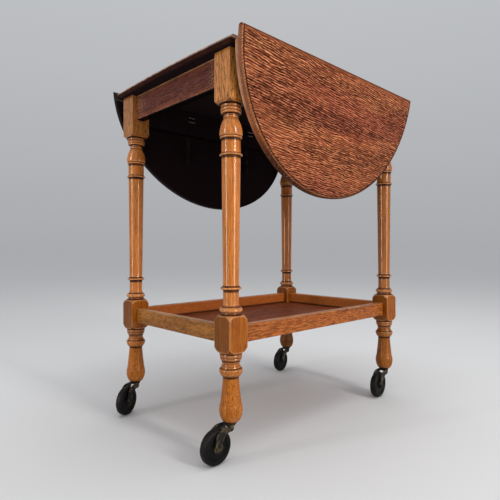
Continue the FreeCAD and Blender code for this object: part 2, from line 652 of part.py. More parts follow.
def horn():
    """Pressed fork: a swivel plate, two cheeks and the web that joins them at the front."""
    plate_z = (HORN_TOP_Z - HORN_PLATE, HORN_TOP_Z)
    plate = cylinder(HORN_TOP_RADIUS, vec(0, 0, plate_z[0]), Z_AXIS, HORN_PLATE)
    bridge = box((0, HORN_BRIDGE), (-HORN_Y, HORN_Y), plate_z)
    web_z = (HORN_TOP_Z - HORN_CHIN / 2, HORN_TOP_Z)
    web = box((HORN_FRONT, HORN_FRONT + HORN_PLATE), (-HORN_Y, HORN_Y), web_z)
    cheeks = [cheek_outline(side * CHEEK_Y).extrude(vec(0, side * HORN_PLATE, 0)) for side in (-1, 1)]
    return fused([plate, bridge, web] + cheeks).cut([axle(), stem()])


def stem():
    """Swivel pin, riveted through the horn's plate."""
    return cylinder(STEM_RADIUS, vec(0, 0, HORN_TOP_Z - HORN_PLATE), Z_AXIS, HORN_PLATE + STEM_LENGTH)


def socket():
    """Sleeve driven up into the leg, with a flange against its end."""
    bore = STEM_RADIUS + STEM_CLEARANCE
    sleeve = cylinder(SOCKET_RADIUS, vec(0, 0, SOCKET_BASE_Z), Z_AXIS, SOCKET_TOP_Z - SOCKET_BASE_Z)
    flange = cylinder(SOCKET_FLANGE_RADIUS, vec(0, 0, SOCKET_BASE_Z), Z_AXIS, SOCKET_FLANGE)
    return fused([sleeve, flange]).cut(cylinder(bore, vec(0, 0, SOCKET_BASE_Z), Z_AXIS, STEM_LENGTH))


def make_castors():
    moving = (("horn", horn()), ("stem", stem()), ("axle", axle()), ("wheel", wheel()), ("hub", hub()))
    for leg_name, side_x, side_y, trail in LEGS:
        for name, shape in moving:
            write("castor_" + name + "_" + leg_name, [to_leg(shape, side_x, side_y, trail)])
    sleeve = socket()
    write("castor_sockets", [to_leg(sleeve, side_x, side_y, 0) for _, side_x, side_y, _ in LEGS])


def wheel_reach(side_x, trail):
    """How far a castor's wheel reaches along -X and +X."""
    hub_x = side_x * LEG_X + CASTOR_TRAIL * math.cos(math.radians(trail))
    across = WHEEL_RADIUS * abs(math.cos(math.radians(trail)))
    return hub_x - across, hub_x + across


def origin_shift():
    """The left castors reach past the top, so the overall box isn't centred on the legs."""
    low = min(wheel_reach(side_x, trail)[0] for _, side_x, _, trail in LEGS)
    high = HALF_LENGTH + TOP_BOW
    return -(low + high) / 2


os.makedirs("parts", exist_ok=True)
ORIGIN_SHIFT = origin_shift()
make_legs()
make_rails()
make_tray_panel()
make_corner_blocks()
make_top()
make_leaves()
make_hinges()
make_stays()
make_castors()
print("%d nodes written" % len(os.listdir("parts")))
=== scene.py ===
"""Studio scene of an oval drop leaf tea trolley in polished oak, dressed on its CAD frame.

Everything is in metres, in the row frame of the CAD model: +Z up, X along the trolley, -Y the near
side. The classes below follow the trolley's own sub-assemblies.
"""

import cmath
import json
import logging
import math
from dataclasses import dataclass, field, replace
from enum import Enum
from functools import partial, reduce
from typing import Any, Callable, Mapping, Optional, Sequence

import bpy
import numpy as np
from mathutils import Matrix, Vector


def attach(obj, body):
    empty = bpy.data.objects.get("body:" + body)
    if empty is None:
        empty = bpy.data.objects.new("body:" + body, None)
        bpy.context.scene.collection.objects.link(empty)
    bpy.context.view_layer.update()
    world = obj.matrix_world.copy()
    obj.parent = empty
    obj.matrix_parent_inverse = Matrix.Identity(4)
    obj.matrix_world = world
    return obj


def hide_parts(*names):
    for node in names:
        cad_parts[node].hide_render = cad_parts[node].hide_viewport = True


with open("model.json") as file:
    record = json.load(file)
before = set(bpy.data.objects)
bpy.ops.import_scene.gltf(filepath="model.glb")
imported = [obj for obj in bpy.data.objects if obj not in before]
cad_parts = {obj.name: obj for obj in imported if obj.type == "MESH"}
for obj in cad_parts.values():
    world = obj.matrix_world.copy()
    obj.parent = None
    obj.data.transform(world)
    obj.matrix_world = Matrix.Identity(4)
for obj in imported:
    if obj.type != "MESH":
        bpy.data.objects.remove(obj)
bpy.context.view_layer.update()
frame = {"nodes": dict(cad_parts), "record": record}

LOG = logging.getLogger("tea_trolley")
MM = 0.001
MIDDLE_X = 15.745  # from the frame's origin to the middle between the legs, in millimetres

Colour = tuple[float, float, float]
Point = tuple[float, float, float]
Masks = list[tuple]  # (mask, colour) or (mask, colour, mode of mixing) layers
Faces = list[tuple[int, ...]]
Head = tuple[Point, Point, float]  # middle in millimetres, direction it faces, turn of the slot


# --- shader expressions -------------------------------------------------------------------------
class Grain(Enum):
    """Direction in which the wood's fibres run."""

    X = (1.0, 0.0, 0.0)
    Y = (0.0, 1.0, 0.0)
    Z = (0.0, 0.0, 1.0)

    def stretched(self, along: float, across: float) -> Point:
        """Scale of a noise drawn out along the fibres, from its cycles per metre."""
        return tuple(along if on else across for on in self.value)


class Sock:
    """A socket of a node tree, so that shader maths reads as Python expressions."""

    def __init__(self, shader: "Shader", socket: bpy.types.NodeSocket) -> None:
        """Wraps an output of the shader's tree."""
        self.shader = shader
        self.socket = socket

    def _math(self, operation: str, *terms: Any) -> "Sock":
        """Value of a Math node whose inputs are sockets or numbers."""
        return self.shader.node("ShaderNodeMath", {"operation": operation}, dict(enumerate(terms)))

    def __add__(self, other: Any) -> "Sock":
        """Sum."""
        return self._math("ADD", self, other)

    __radd__ = __add__

    def __sub__(self, other: Any) -> "Sock":
        """Difference."""
        return self._math("SUBTRACT", self, other)

    def __rsub__(self, other: Any) -> "Sock":
        """Reflected difference."""
        return self._math("SUBTRACT", other, self)

    def __mul__(self, other: Any) -> "Sock":
        """Product."""
        return self._math("MULTIPLY", self, other)

    __rmul__ = __mul__

    def __truediv__(self, other: Any) -> "Sock":
        """Quotient."""
        return self._math("DIVIDE", self, other)

    def __abs__(self) -> "Sock":
        """Absolute value."""
        return self._math("ABSOLUTE", self)

    def sine(self) -> "Sock":
        """Sine of an angle in radians."""
        return self._math("SINE", self)

    def root(self) -> "Sock":
        """Square root."""
        return self._math("SQRT", self)

    def larger(self, other: Any) -> "Sock":
        """The larger of two values."""
        return self._math("MAXIMUM", self, other)

    def ramp(self, low: float, high: float) -> "Sock":
        """Smooth step that rises or falls.

        Args:
            low: value where the result is 0; it may be the larger one.
            high: value where the result is 1.

        Returns:
            A mask from 0 to 1.
        """
        inputs = {"Value": self, "From Min": low, "From Max": high}
        if low > high:
            inputs = {"Value": self, "From Min": high, "From Max": low, "To Min": 1.0, "To Max": 0.0}
        return self.shader.node("ShaderNodeMapRange", {"interpolation_type": "SMOOTHSTEP", "clamp": True},
                                inputs)

    def span(self, low: float, high: float) -> "Sock":
        """Smooth step, as ramp gives, between two distances in millimetres."""
        return self.ramp(low * MM, high * MM)

    def axis(self, name: str) -> "Sock":
        """Coordinate X, Y or Z of a point."""
        return self.shader.node("ShaderNodeSeparateXYZ", inputs={"Vector": self}, output=name)

    def from_middle(self, name: str) -> "Sock":
        """Distance of a point from the trolley's middle, along X or Y."""
        return abs(self.axis(name) - MIDDLE_X * MM if name == "X" else self.axis(name))

    def turned(self, axis: str, degrees: float) -> "Sock":
        """Point turned about an axis through the origin."""
        return self.shader.node("ShaderNodeVectorRotate", {"rotation_type": axis + "_AXIS"},
                                {"Vector": self, "Angle": math.radians(degrees)})

    def noise(self, scale: Point, detail: float = 3.0, rough: float = 0.6,
              offset: Point = (0.0, 0.0, 0.0)) -> "Sock":
        """Noise at a point.

        Args:
            scale: cycles per metre on each axis.
            detail: number of finer layers.
            rough: strength of the finer layers.
            offset: moves the pattern.

        Returns:
            Values about 0.5.
        """
        moved = self.shader.node("ShaderNodeMapping", {"vector_type": "POINT"},
                                 {"Vector": self, "Location": offset, "Scale": scale})
        return self.shader.node("ShaderNodeTexNoise", {"noise_dimensions": "3D"},
                                {"Vector": moved, "Scale": 1.0, "Detail": detail, "Roughness": rough})

    def bent(self, scale: float, reach: float) -> "Sock":
        """Point moved a little by soft noise, which makes a straight grain wavy.

        Args:
            scale: cycles per metre of the waves.
            reach: how far they move the point, in metres.

        Returns:
            The moved point.
        """
        cloud = self.shader.node("ShaderNodeTexNoise", {"noise_dimensions": "3D"},
                                 {"Vector": self, "Scale": scale, "Detail": 2.0}, "Color")
        centred = self.shader.vector("SUBTRACT", cloud, (0.5, 0.5, 0.5))
        return self.shader.vector("MULTIPLY_ADD", centred, (reach, reach, reach), self)


class Shader:
    """Node tree of a material or of the world."""

    def __init__(self, owner: bpy.types.ID) -> None:
        """Empties the tree of its owner."""
        owner.use_nodes = True
        self.owner = owner
        self.tree = owner.node_tree
        self.tree.nodes.clear()

    def node(self, kind: str, settings: Optional[Mapping[str, Any]] = None,
             inputs: Optional[Mapping[Any, Any]] = None, output: Any = 0) -> Sock:
        """Adds any node.

        Args:
            kind: the node's type.
            settings: properties that are set first.
            inputs: a link or a value for each named or numbered socket.
            output: name or number of the output wanted.

        Returns:
            The chosen output, which is empty for a node at the tree's end.
        """
        item = self.tree.nodes.new(kind)
        for key, value in (settings or {}).items():
            setattr(item, key, value)
        for key, value in (inputs or {}).items():
            if isinstance(value, Sock):
                self.tree.links.new(value.socket, item.inputs[key])
            else:
                item.inputs[key].default_value = value
        return Sock(self, item.outputs[output] if item.outputs else None)

    def vector(self, operation: str, *terms: Any, output: str = "Vector") -> Sock:
        """Result of a Vector Math node whose inputs are points; some give a number, as output Value."""
        return self.node("ShaderNodeVectorMath", {"operation": operation}, dict(enumerate(terms)), output)

    def place(self) -> Sock:
        """Point of the surface in the row frame at rest."""
        return self.node("ShaderNodeTexCoord", output="Object")

    def blend(self, mask: Any, first: Any, second: Any, mode: str = "MIX") -> Sock:
        """Mixes two colours.

        Args:
            mask: 0 gives the first colour, 1 the second.
            first: a colour or a link.
            second: a colour or a link.
            mode: Blender's name of the mix.

        Returns:
            The mixed colour.
        """
        first, second = (item if isinstance(item, Sock) else (*item, 1.0) for item in (first, second))
        settings = {"data_type": "RGBA", "blend_type": mode, "clamp_factor": True}
        return self.node("ShaderNodeMix", settings, {0: mask, 6: first, 7: second}, 2)

    def layered(self, colour: Any, layers: Masks) -> Any:
        """Lays layers over a colour, from the first to the last.

        Args:
            colour: a colour or a link.
            layers: the layers.

        Returns:
            The colour on top.
        """
        for mask, over, *mode in layers:
            colour = self.blend(mask, colour, over, *mode)
        return colour

    def painted(self, name: str) -> Sock:
        """Value that the mesh holds at each of its points."""
        return self.node("ShaderNodeAttribute", {"attribute_name": name}, output="Fac")

    def relief(self, height: Sock, strength: float, distance: float) -> Sock:
        """Normal of a surface with relief of a strength and of a depth in metres."""
        return self.node("ShaderNodeBump", inputs={"Strength": strength, "Distance": distance,
                                                   "Height": height})

    def finish(self, **inputs: Any) -> bpy.types.Material:
        """Adds the Principled BSDF and the output.

        Args:
            inputs: sockets of the BSDF, with underscores for spaces.

        Returns:
            The finished material.
        """
        named = {key.replace("_", " "): value for key, value in inputs.items()}
        shader = self.node("ShaderNodeBsdfPrincipled", inputs=named)
        self.node("ShaderNodeOutputMaterial", inputs={"Surface": shader})
        return self.owner


def new_material(name: str) -> Shader:
    """Node tree of a new material."""
    return Shader(bpy.data.materials.new(name))


# --- finishes -----------------------------------------------------------------------------------
@dataclass(frozen=True)
class Oak:
    """Stained and polished oak, with bands, streaks, short strokes, lines, rings and open pores.

    A field that ends in show is the strength of a mark. A stroke is in cycles per metre along and
    across the grain, a pitch and the wave in metres, and a turn in degrees.
    """

    name: str
    dark: Colour
    middle: Colour
    light: Colour
    grain: Grain
    band_show: float = 0.45
    streak_show: float = 0.45
    stroke: tuple[float, float] = (26.0, 420.0)
    stroke_turn: float = 0.0
    fleck_pitch: float = 0.0
    stroke_show: float = 0.6
    line_show: float = 0.5
    pore_show: float = 0.6
    ring_pitch: float = 0.006
    ring_turn: float = 35.0
    ring_show: float = 0.0
    wave: float = 0.004
    wave_scale: float = 14.0
    rough: float = 0.42
    coat: float = 0.3
    coat_rough: float = 0.16
    shine: float = 0.08
    relief: float = 0.25
    seed: float = 0.0

    def build(self, masks: Callable[[Sock], Masks] = lambda place: [],
              gloss: Callable[[Sock], Any] = lambda place: 1.0) -> bpy.types.Material:
        """Makes the material.

        Args:
            masks: gives the layers that are laid over the wood, such as worn marks, dirt, painted shade and
                painted highlights.
            gloss: gives the share of the polish that is left.

        Returns:
            The material.
        """
        shader = new_material(self.name)
        place = shader.place()
        wavy = place.bent(self.wave_scale, self.wave)
        turned = wavy.turned("Y", self.stroke_turn)

        def spots(point: Sock, along: float, across: float, extra: float, detail: float = 2.0,
                  rough: float = 0.6) -> Sock:
            """Noise drawn out along the grain."""
            offset = (self.seed + extra, self.seed * 0.7 + extra, self.seed * 1.3 - extra)
            return point.noise(self.grain.stretched(along, across), detail, rough, offset)

        bands = spots(wavy, 2.4, 20.0, 1.7, 3.0, 0.55).ramp(0.45, 0.60)
        streaks = spots(wavy, 5.0, 120.0, 3.1, 3.0).ramp(0.40, 0.66)
        lines = spots(wavy, 11.0, 210.0, 13.0, 2.0, 0.55).ramp(0.56, 0.64)
        pores = spots(place, 36.0, 640.0, 11.3, 2.0, 0.65).ramp(0.55, 0.68)
        if self.fleck_pitch:
            flecks = self.flecks(turned)
            darker, lighter = flecks.ramp(0.02, 0.60), flecks.ramp(-0.10, -0.70)
        else:
            strokes = spots(turned, *self.stroke, 7.7, 2.0, 0.5)
            darker, lighter = strokes.ramp(0.50, 0.59), strokes.ramp(0.47, 0.37)
        layers = [(streaks * self.streak_show, self.light), (bands * self.band_show, self.dark),
                  (lighter * self.stroke_show, self.light), (darker * self.stroke_show, self.dark),
                  (lines * self.line_show, self.dark)]
        if self.ring_show:
            layers.append((self.rings(wavy) * self.ring_show, self.dark))
        layers.append((pores * self.pore_show, self.dark))
        return shader.finish(
            Base_Color=shader.layered(self.middle, layers + masks(place)),
            Roughness=self.rough + pores * 0.15 + darker * 0.08,
            Coat_Weight=(1.0 - pores * 0.35) * self.coat * gloss(place),
            Coat_Roughness=self.coat_rough,
            Specular_IOR_Level=self.shine,
            Normal=shader.relief((1.0 - pores) * 0.55 + (1.0 - darker) * 0.45, self.relief, 0.0004),
        )

    def flecks(self, place: Sock) -> Sock:
        """Short dashes side by side along the grain.

        Args:
            place: point of the surface.

        Returns:
            Values from -1 in the light dashes to 1 in the dark ones.
        """
        along, across = self.stroke
        first, second = [axis for axis in "XYZ" if axis != self.grain.name]
        offset = (self.seed, self.seed * 0.6, self.seed * 1.4)
        warp = place.noise(self.grain.stretched(along, across * 0.33), offset=offset)
        show = place.noise(self.grain.stretched(along * 1.7, across * 0.75), 2.0, 0.55, offset)
        worn = place.noise(self.grain.stretched(6.0, 15.0), 2.0, 0.5, offset).ramp(0.30, 0.62)
        layer = (place.axis(first) + place.axis(second)) * (2 * math.pi / self.fleck_pitch)
        return (layer + warp * 11.0).sine() * show.ramp(0.34, 0.60) * (worn * 0.35 + 0.65)

    def rings(self, place: Sock) -> Sock:
        """Growth rings, as layers that lie almost along the grain.

        Args:
            place: point of the surface.

        Returns:
            A mask that is 1 in the dark wood of each ring.
        """
        first, second = [axis for axis in "XYZ" if axis != self.grain.name]
        turn = math.radians(self.ring_turn + self.seed * 20.0)
        warp = place.noise(self.grain.stretched(5.0, 22.0), 2.0, 0.5)
        layer = (place.axis(first) * math.cos(turn) + place.axis(second) * math.sin(turn)
                 + place.axis(self.grain.name) * 0.02 + warp * (self.ring_pitch * 4.0))
        return (layer * (2 * math.pi / self.ring_pitch)).sine().ramp(0.35, 0.98)


@dataclass(frozen=True)
class Metal:
    """Dull pressed metal; dirt lies where its noise passes dirt_from, from 0 to 1."""

    name: str
    clean: Colour
    dirty: Colour
    metallic: float = 0.85
    rough: float = 0.42
    dirt: float = 0.6
    shine: float = 0.5
    dirt_from: float = 0.42

    def build(self, masks: Callable[[Sock], Masks] = lambda place: []) -> bpy.types.Material:
        """Makes the material.

        Args:
            masks: gives the layers that are laid over the metal.

        Returns:
            The material.
        """
        shader = new_material(self.name)
        place = shader.place()
        cloud, fine = place.noise((90.0, 90.0, 90.0), 4.0), place.noise((900.0, 900.0, 900.0))
        dirt = cloud.ramp(self.dirt_from, self.dirt_from + 0.2) * self.dirt
        specks = fine.ramp(0.58, 0.70) * (self.dirt * 0.7)
        return shader.finish(
            Base_Color=shader.layered(self.clean, [(dirt, self.dirty), (specks, self.dirty)] + masks(place)),
            Metallic=self.metallic - dirt * 0.35,
            Roughness=self.rough + dirt * 0.25 + fine * 0.1,
            Specular_IOR_Level=self.shine,
            Normal=shader.relief(fine * 0.5 + cloud * 0.5, 0.25, 0.0003),
        )


@dataclass(frozen=True)
class Rubber:
    """Hard black rubber, greyed by dust, with turned grooves at some radii in millimetres, darkened as
    painted shade, and a pale tread edge, dust with a painted highlight.
    """

    name: str
    black: Colour = (0.003, 0.003, 0.003)
    dust: Colour = (0.017, 0.0155, 0.0135)
    grooves: tuple[float, ...] = (13.5, 19.5, 25.5)
    tread_dust_and_highlight: tuple[float, float] = (26.2, 27.8)

    def build(self, suffix: str, centre: Sequence[float], axle: Sequence[float]) -> bpy.types.Material:
        """Makes the material of one wheel.

        Args:
            suffix: end of the material's name.
            centre: middle of the wheel, in metres.
            axle: direction of its axle.

        Returns:
            The material.
        """
        shader = new_material(self.name + "_" + suffix)
        place = shader.place()
        arm = shader.vector("SUBTRACT", place, tuple(centre))
        along = shader.vector("DOT_PRODUCT", arm, tuple(axle), output="Value")
        length = shader.vector("LENGTH", arm, output="Value")
        radius = (length * length - along * along).root()
        cloud, fine = place.noise((60.0, 60.0, 60.0), 4.0), place.noise((700.0, 700.0, 700.0))
        dust = cloud.ramp(0.45, 0.75) * 0.4 + fine.ramp(0.55, 0.75) * 0.25
        # the grooves are coloured darker: painted shade
        groove = reduce(Sock.larger, [abs(radius - line * MM).span(1.1, 0.3) for line in self.grooves])
        # the tread's edge painted pale: dust with a painted highlight
        rim = radius.span(*self.tread_dust_and_highlight) * (0.25 + fine.ramp(0.45, 0.65) * 0.75)
        colour = shader.blend(dust.larger(rim), self.black, self.dust)
        return shader.finish(
            Base_Color=shader.blend(groove * 0.8, colour, (0.001, 0.001, 0.001)),
            Roughness=0.45 + dust * 0.35,
            Specular_IOR_Level=0.1,
            Normal=shader.relief(fine * 0.15 + cloud * 0.1 + (1.0 - groove) * 0.75, 0.5, 0.0008),
        )


@dataclass(frozen=True)
class Plain:
    """Even matt surface for the studio floor."""

    name: str
    colour: Colour
    rough: float = 0.85

    def build(self) -> bpy.types.Material:
        """Makes the material."""
        return new_material(self.name).finish(Base_Color=(*self.colour, 1.0), Roughness=self.rough,
                                              Specular_IOR_Level=0.0)


UNDERSIDE_STAIN_AND_SHADE = (0.0165, 0.0098, 0.0108)  # dark unpolished wood with painted shade, under the top, on the inner faces and inside the leaves
GOLDEN = Oak("golden_oak", (0.105, 0.026, 0.004), (0.375, 0.100, 0.009), (0.50, 0.160, 0.020), Grain.Z,
             band_show=0.15, streak_show=0.4, stroke=(22.0, 460.0), stroke_show=0.22, line_show=0.25,
             ring_pitch=0.0075, ring_show=0.1, wave=0.002, rough=0.4, coat=0.6, coat_rough=0.09,
             relief=0.04)
RAIL = Oak("rail_oak_side", (0.10, 0.022, 0.003), (0.44, 0.108, 0.012), (0.60, 0.19, 0.034), Grain.X,
           streak_show=0.3, stroke=(60.0, 520.0), stroke_show=0.6, line_show=0.2, wave=0.006, seed=2.0)
END_RAIL = Oak("rail_oak_end", (0.14, 0.042, 0.006), (0.49, 0.178, 0.026), (0.66, 0.30, 0.070), Grain.Y,
               streak_show=0.25, stroke=(70.0, 520.0), stroke_show=0.35, line_show=0.1, wave=0.006,
               coat=0.2, seed=5.0)
APRON = Oak("apron_oak_side", (0.045, 0.013, 0.008), (0.160, 0.050, 0.038), (0.27, 0.100, 0.075), Grain.X,
            coat=0.12, rough=0.55, shine=0.0, seed=8.0)
END_APRON = replace(APRON, name="apron_oak_end", grain=Grain.Y, streak_show=0.2, stroke=(60.0, 420.0),
                    stroke_show=0.4, seed=9.0)
BOARD = Oak("board_oak", (0.016, 0.004, 0.002), (0.320, 0.079, 0.032), (0.88, 0.335, 0.140), Grain.X,
            band_show=0.5, streak_show=0.15, stroke=(33.0, 590.0), stroke_turn=-5.0, stroke_show=0.92,
            fleck_pitch=0.0035, line_show=0.15, wave=0.005, wave_scale=20.0, rough=0.5, coat=0.16,
            coat_rough=0.3, shine=0.0, relief=0.14, seed=1.0)
PANEL = Oak("panel_oak", (0.085, 0.018, 0.005), (0.265, 0.055, 0.014), (0.36, 0.100, 0.027), Grain.X,
            stroke_show=0.35, line_show=0.3, pore_show=0.4, rough=0.5, coat=0.0, shine=0.04, relief=0.1,
            seed=4.0)
PINE = Oak("corner_block_pine", (0.020, 0.010, 0.006), (0.034, 0.017, 0.010), (0.050, 0.026, 0.015),
           Grain.Z, stroke_show=0.2, line_show=0.1, pore_show=0.1, rough=0.7, coat=0.0, seed=6.0)
HINGE_STEEL = Metal("hinge_steel", (0.17, 0.165, 0.15), (0.035, 0.028, 0.022), 0.8, 0.38, 0.7)
# nearly black: the stays are darkened as painted shade, so that they sink into the shade under the top
STAY_STEEL = Metal("stay_steel", (0.026, 0.022, 0.020), (0.012, 0.009, 0.008), 0.0, 0.8, 0.8, 0.0)
CASTOR_STEEL = Metal("castor_steel", (0.135, 0.096, 0.042), (0.0035, 0.003, 0.0025), 0.5, 0.40, 1.0, 0.3,
                     0.34)
SCREW_STEEL = Metal("screw_steel", (0.22, 0.21, 0.19), (0.04, 0.032, 0.026), 0.85, 0.35, 0.6)
KEEPER_STEEL = Metal("keeper_steel", (0.50, 0.49, 0.46), (0.16, 0.15, 0.13), 0.7, 0.35, 0.4)
RUBBER = Rubber("wheel_rubber")
CREAM = (1.0, 0.90, 0.76)  # colour of the strips of light
FLOOR = Plain("studio_floor", (0.70, 0.70, 0.70))


# --- mesh help ----------------------------------------------------------------------------------
def add_mesh(name: str, points: Sequence[Point], faces: Sequence[Sequence[int]],
             material: bpy.types.Material, sharp: float = 35.0) -> bpy.types.Object:
    """Makes a smooth object with sharp arrises.

    Args:
        name: name of the piece.
        points: corners in metres, in the row frame.
        faces: corner numbers of each face.
        material: its finish.
        sharp: angle in degrees from which an edge stays sharp.

    Returns:
        The new object.
    """
    mesh = bpy.data.meshes.new(name)
    mesh.from_pydata([tuple(p) for p in points], [], [tuple(f) for f in faces])
    mesh.validate()
    mesh.shade_smooth()
    mesh.set_sharp_from_angle(angle=math.radians(sharp))
    mesh.materials.append(material)
    thing = bpy.data.objects.new(name, mesh)
    bpy.context.scene.collection.objects.link(thing)
    return thing


def skin(rings: int, around: int, start: int = 0, capped: bool = True) -> Faces:
    """Faces over rings of points that follow each other.

    Args:
        rings: how many rings there are.
        around: how many points each of them has.
        start: number of the first point.
        capped: whether the first and the last ring are closed.

    Returns:
        The corner numbers of each face.
    """
    faces: Faces = []
    for low in range(start, start + (rings - 1) * around, around):
        for index in range(around):
            after = (index + 1) % around
            faces.append((low + index, low + after, low + around + after, low + around + index))
    if capped:
        last = start + (rings - 1) * around
        faces += [tuple(range(start, start + around))[::-1], tuple(range(last, last + around))]
    return faces


def fix(piece: bpy.types.Object, body: str) -> None:
    """Lets a piece of the scene move with the trolley.

    Args:
        piece: the piece.
        body: CAD body that it rides on.
    """
    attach(piece, body)
    LOG.info("%s made", piece.name)


def paint(material: bpy.types.Material, *nodes: str) -> None:
    """Gives CAD nodes a finish.

    Args:
        material: the finish.
        nodes: names of the CAD nodes.
    """
    for name in nodes:
        for item in frame["nodes"][name].material_slots:
            item.material = material
        LOG.info("%s dressed in %s", name, material.name)


# --- turned legs --------------------------------------------------------------------------------
@dataclass(frozen=True)
class Stretch:
    """One stretch of a turning: its rise, radius half way up (None if straight) and end radius."""

    rise: float
    middle: Optional[float]
    end: float


@dataclass(frozen=True)
class Leg:
    """One leg's name, the sides it stands on, and the painted light and shade of its upper block, shaft and
    foot, as factors on their colour.
    """

    name: str
    side_x: int
    side_y: int
    block: float
    shaft: float
    foot: float


def stretches(*rows: tuple[float, ...]) -> tuple[Stretch, ...]:
    """Stretches from rows of (rise, middle, end), or (rise, end) where straight, in millimetres."""
    return tuple(Stretch(row[0], row[1] if len(row) == 3 else None, row[-1]) for row in rows)


@dataclass
class TurnedLegs:
    """Four turned legs with square blocks, in millimetres; heights are above the floor.

    A shoulder is its rise and the share of its growth that is reached half way up. The envelope of
    a block lies a little beyond its corners. The bands are the widths of the marks in the mesh.
    """

    block: float = 41.3
    pitch_x: float = 512.0
    pitch_y: float = 330.0
    foot_z: float = 64.0
    lower_block: tuple[float, float] = (182.4, 251.0)
    upper_block: tuple[float, float] = (616.0, 706.0)
    lower_shoulder: tuple[float, float] = (13.5, 0.72)
    upper_shoulder: tuple[float, float] = (8.5, 0.84)
    shoulder_radius: float = 17.4
    foot_radius: float = 11.5
    foot: tuple[Stretch, ...] = stretches(
        (5.0, 15.0, 16.8), (27.0, 20.4, 18.7), (42.5, 16.1, 14.2), (5.0, 14.0), (0.0, 15.8),
        (8.2, 18.8, 20.3), (4.6, 20.7, 20.1), (5.0, 17.8, 16.9), (0.0, 16.3), (6.2, 15.5, 15.5),
        (0.0, 16.3), (3.4, 16.3), (0.0, 15.2), (0.8, 15.2), (0.0, 17.5), (4.6, 19.0, 18.5), (0.0, 17.5),
        (0.8, 17.5), (0.0, 19.2))
    collar: tuple[float, float] = (19.9, 19.0)
    shaft_start: tuple[Stretch, ...] = stretches(
        (0.0, 17.4), (4.4, 16.9, 17.2), (0.0, 19.3), (5.2, 20.3, 19.4), (2.5, 18.6, 17.2), (0.0, 16.0),
        (1.4, 15.6), (3.4, 14.3, 13.9), (24.5, 13.8), (1.4, 17.4), (3.4, 18.8, 17.8), (3.6, 15.2, 14.0))
    shaft_top_radius: float = 16.7
    shaft_end: tuple[Stretch, ...] = stretches(
        (1.4, 19.3), (2.6, 20.3, 19.5), (3.4, 17.8, 17.1), (23.9, 16.9), (0.0, 17.9), (3.6, 19.3, 18.5),
        (0.0, 17.6), (0.9, 17.6), (0.0, 19.3), (7.2, 20.3, 20.4), (24.3, 17.8, 12.6), (0.0, 13.4),
        (2.6, 13.4), (0.0, 12.0), (4.6, 11.7, 12.4), (0.0, 16.4), (4.3, 18.1, 17.2), (0.0, 16.2),
        (0.6, 16.2), (0.0, 17.4), (4.9, 18.6, 17.4), (0.0, 16.2), (0.6, 16.2), (0.0, 16.9),
        (6.5, 17.9, 16.9))
    around: int = 96
    longest_step: float = 6.0
    beyond: float = 1.0
    turned_band: float = 0.3
    rim_band: float = 1.0
    arris_band: float = 0.6
    # the block, shaft and foot factors of each leg paint light and shade, lighter or darker leg by leg
    legs: tuple[Leg, ...] = (
        Leg("near_left", -1, -1, 1.0, 1.0, 1.18), Leg("near_right", 1, -1, 0.9, 0.62, 0.82),
        Leg("far_left", -1, 1, 0.68, 1.0, 1.34), Leg("far_right", 1, 1, 0.8, 0.7, 0.45))

    def outline(self) -> np.ndarray:
        """Heights and radii of the turning, from the bottom up, in millimetres."""
        rows = [(self.foot_z, self.foot_radius)]

        def follow(parts: Sequence[Stretch]) -> None:
            """Adds stretches to the outline.

            Args:
                parts: the stretches, from the bottom up.
            """
            for part in parts:
                z, radius = rows[-1]
                if part.middle is None:
                    steps = max(1, int(part.rise / self.longest_step))
                    rows.extend((z + part.rise * step / steps, radius + (part.end - radius) * step / steps)
                                for step in range(1, steps + 1))
                else:
                    rows.extend(self.arc(z, radius, part))

        low, high = self.lower_block
        follow(self.foot)
        follow([Stretch(low - rows[-1][0], *self.collar), Stretch(0.0, None, self.shoulder_radius)])
        follow(self.block_envelope(low, high, self.lower_shoulder, True))
        follow(self.shaft_start)
        above = sum(part.rise for part in self.shaft_end)
        follow([Stretch(self.upper_block[0] - above - rows[-1][0], None, self.shaft_top_radius)])
        follow(self.shaft_end)
        follow([Stretch(0.0, None, self.shoulder_radius)])
        follow(self.block_envelope(*self.upper_block, self.upper_shoulder, False))
        return np.array(rows)

    def block_envelope(self, low: float, high: float, shoulder: tuple[float, float], upper: bool,
                       ) -> list[Stretch]:
        """Turned envelope of a square block.

        Args:
            low: height of its lower end.
            high: height of its upper end.
            shoulder: its shoulders.
            upper: whether the upper end has a shoulder too.

        Returns:
            The stretches.
        """
        rise, fullness = shoulder
        corner = self.block / 2 * math.sqrt(2) + self.beyond
        middle = self.shoulder_radius + (corner - self.shoulder_radius) * fullness
        straight = high - low - rise * (2 if upper else 1)
        parts = [Stretch(rise, middle, corner), Stretch(straight, None, corner)]
        if upper:
            parts.append(Stretch(rise, middle, self.shoulder_radius))
        return parts

    @staticmethod
    def arc(z: float, radius: float, part: Stretch, step: float = 0.9) -> list[tuple[float, float]]:
        """Points of an arc through three points, without the first.

        Args:
            z: height of the first point.
            radius: radius of the first point.
            part: the stretch.
            step: length of a step in millimetres.

        Returns:
            (height, radius) rows.
        """
        first, last = complex(z, radius), complex(z + part.rise, part.end)
        middle = complex(z + part.rise / 2, part.middle)
        ratio = (last - first) / (middle - first)
        centre = first + (middle - first) * (ratio - abs(ratio) ** 2) / (ratio - ratio.conjugate())
        arm = first - centre
        sweep, half = (cmath.phase((point - centre) / arm) for point in (last, middle))
        if sweep * half < 0:
            sweep -= math.copysign(2 * math.pi, sweep)
        count = max(3, int(abs(sweep) * abs(arm) / step))
        turned = [arm * cmath.exp(1j * sweep * index / count) + centre for index in range(1, count + 1)]
        return [(point.real, point.imag) for point in turned]

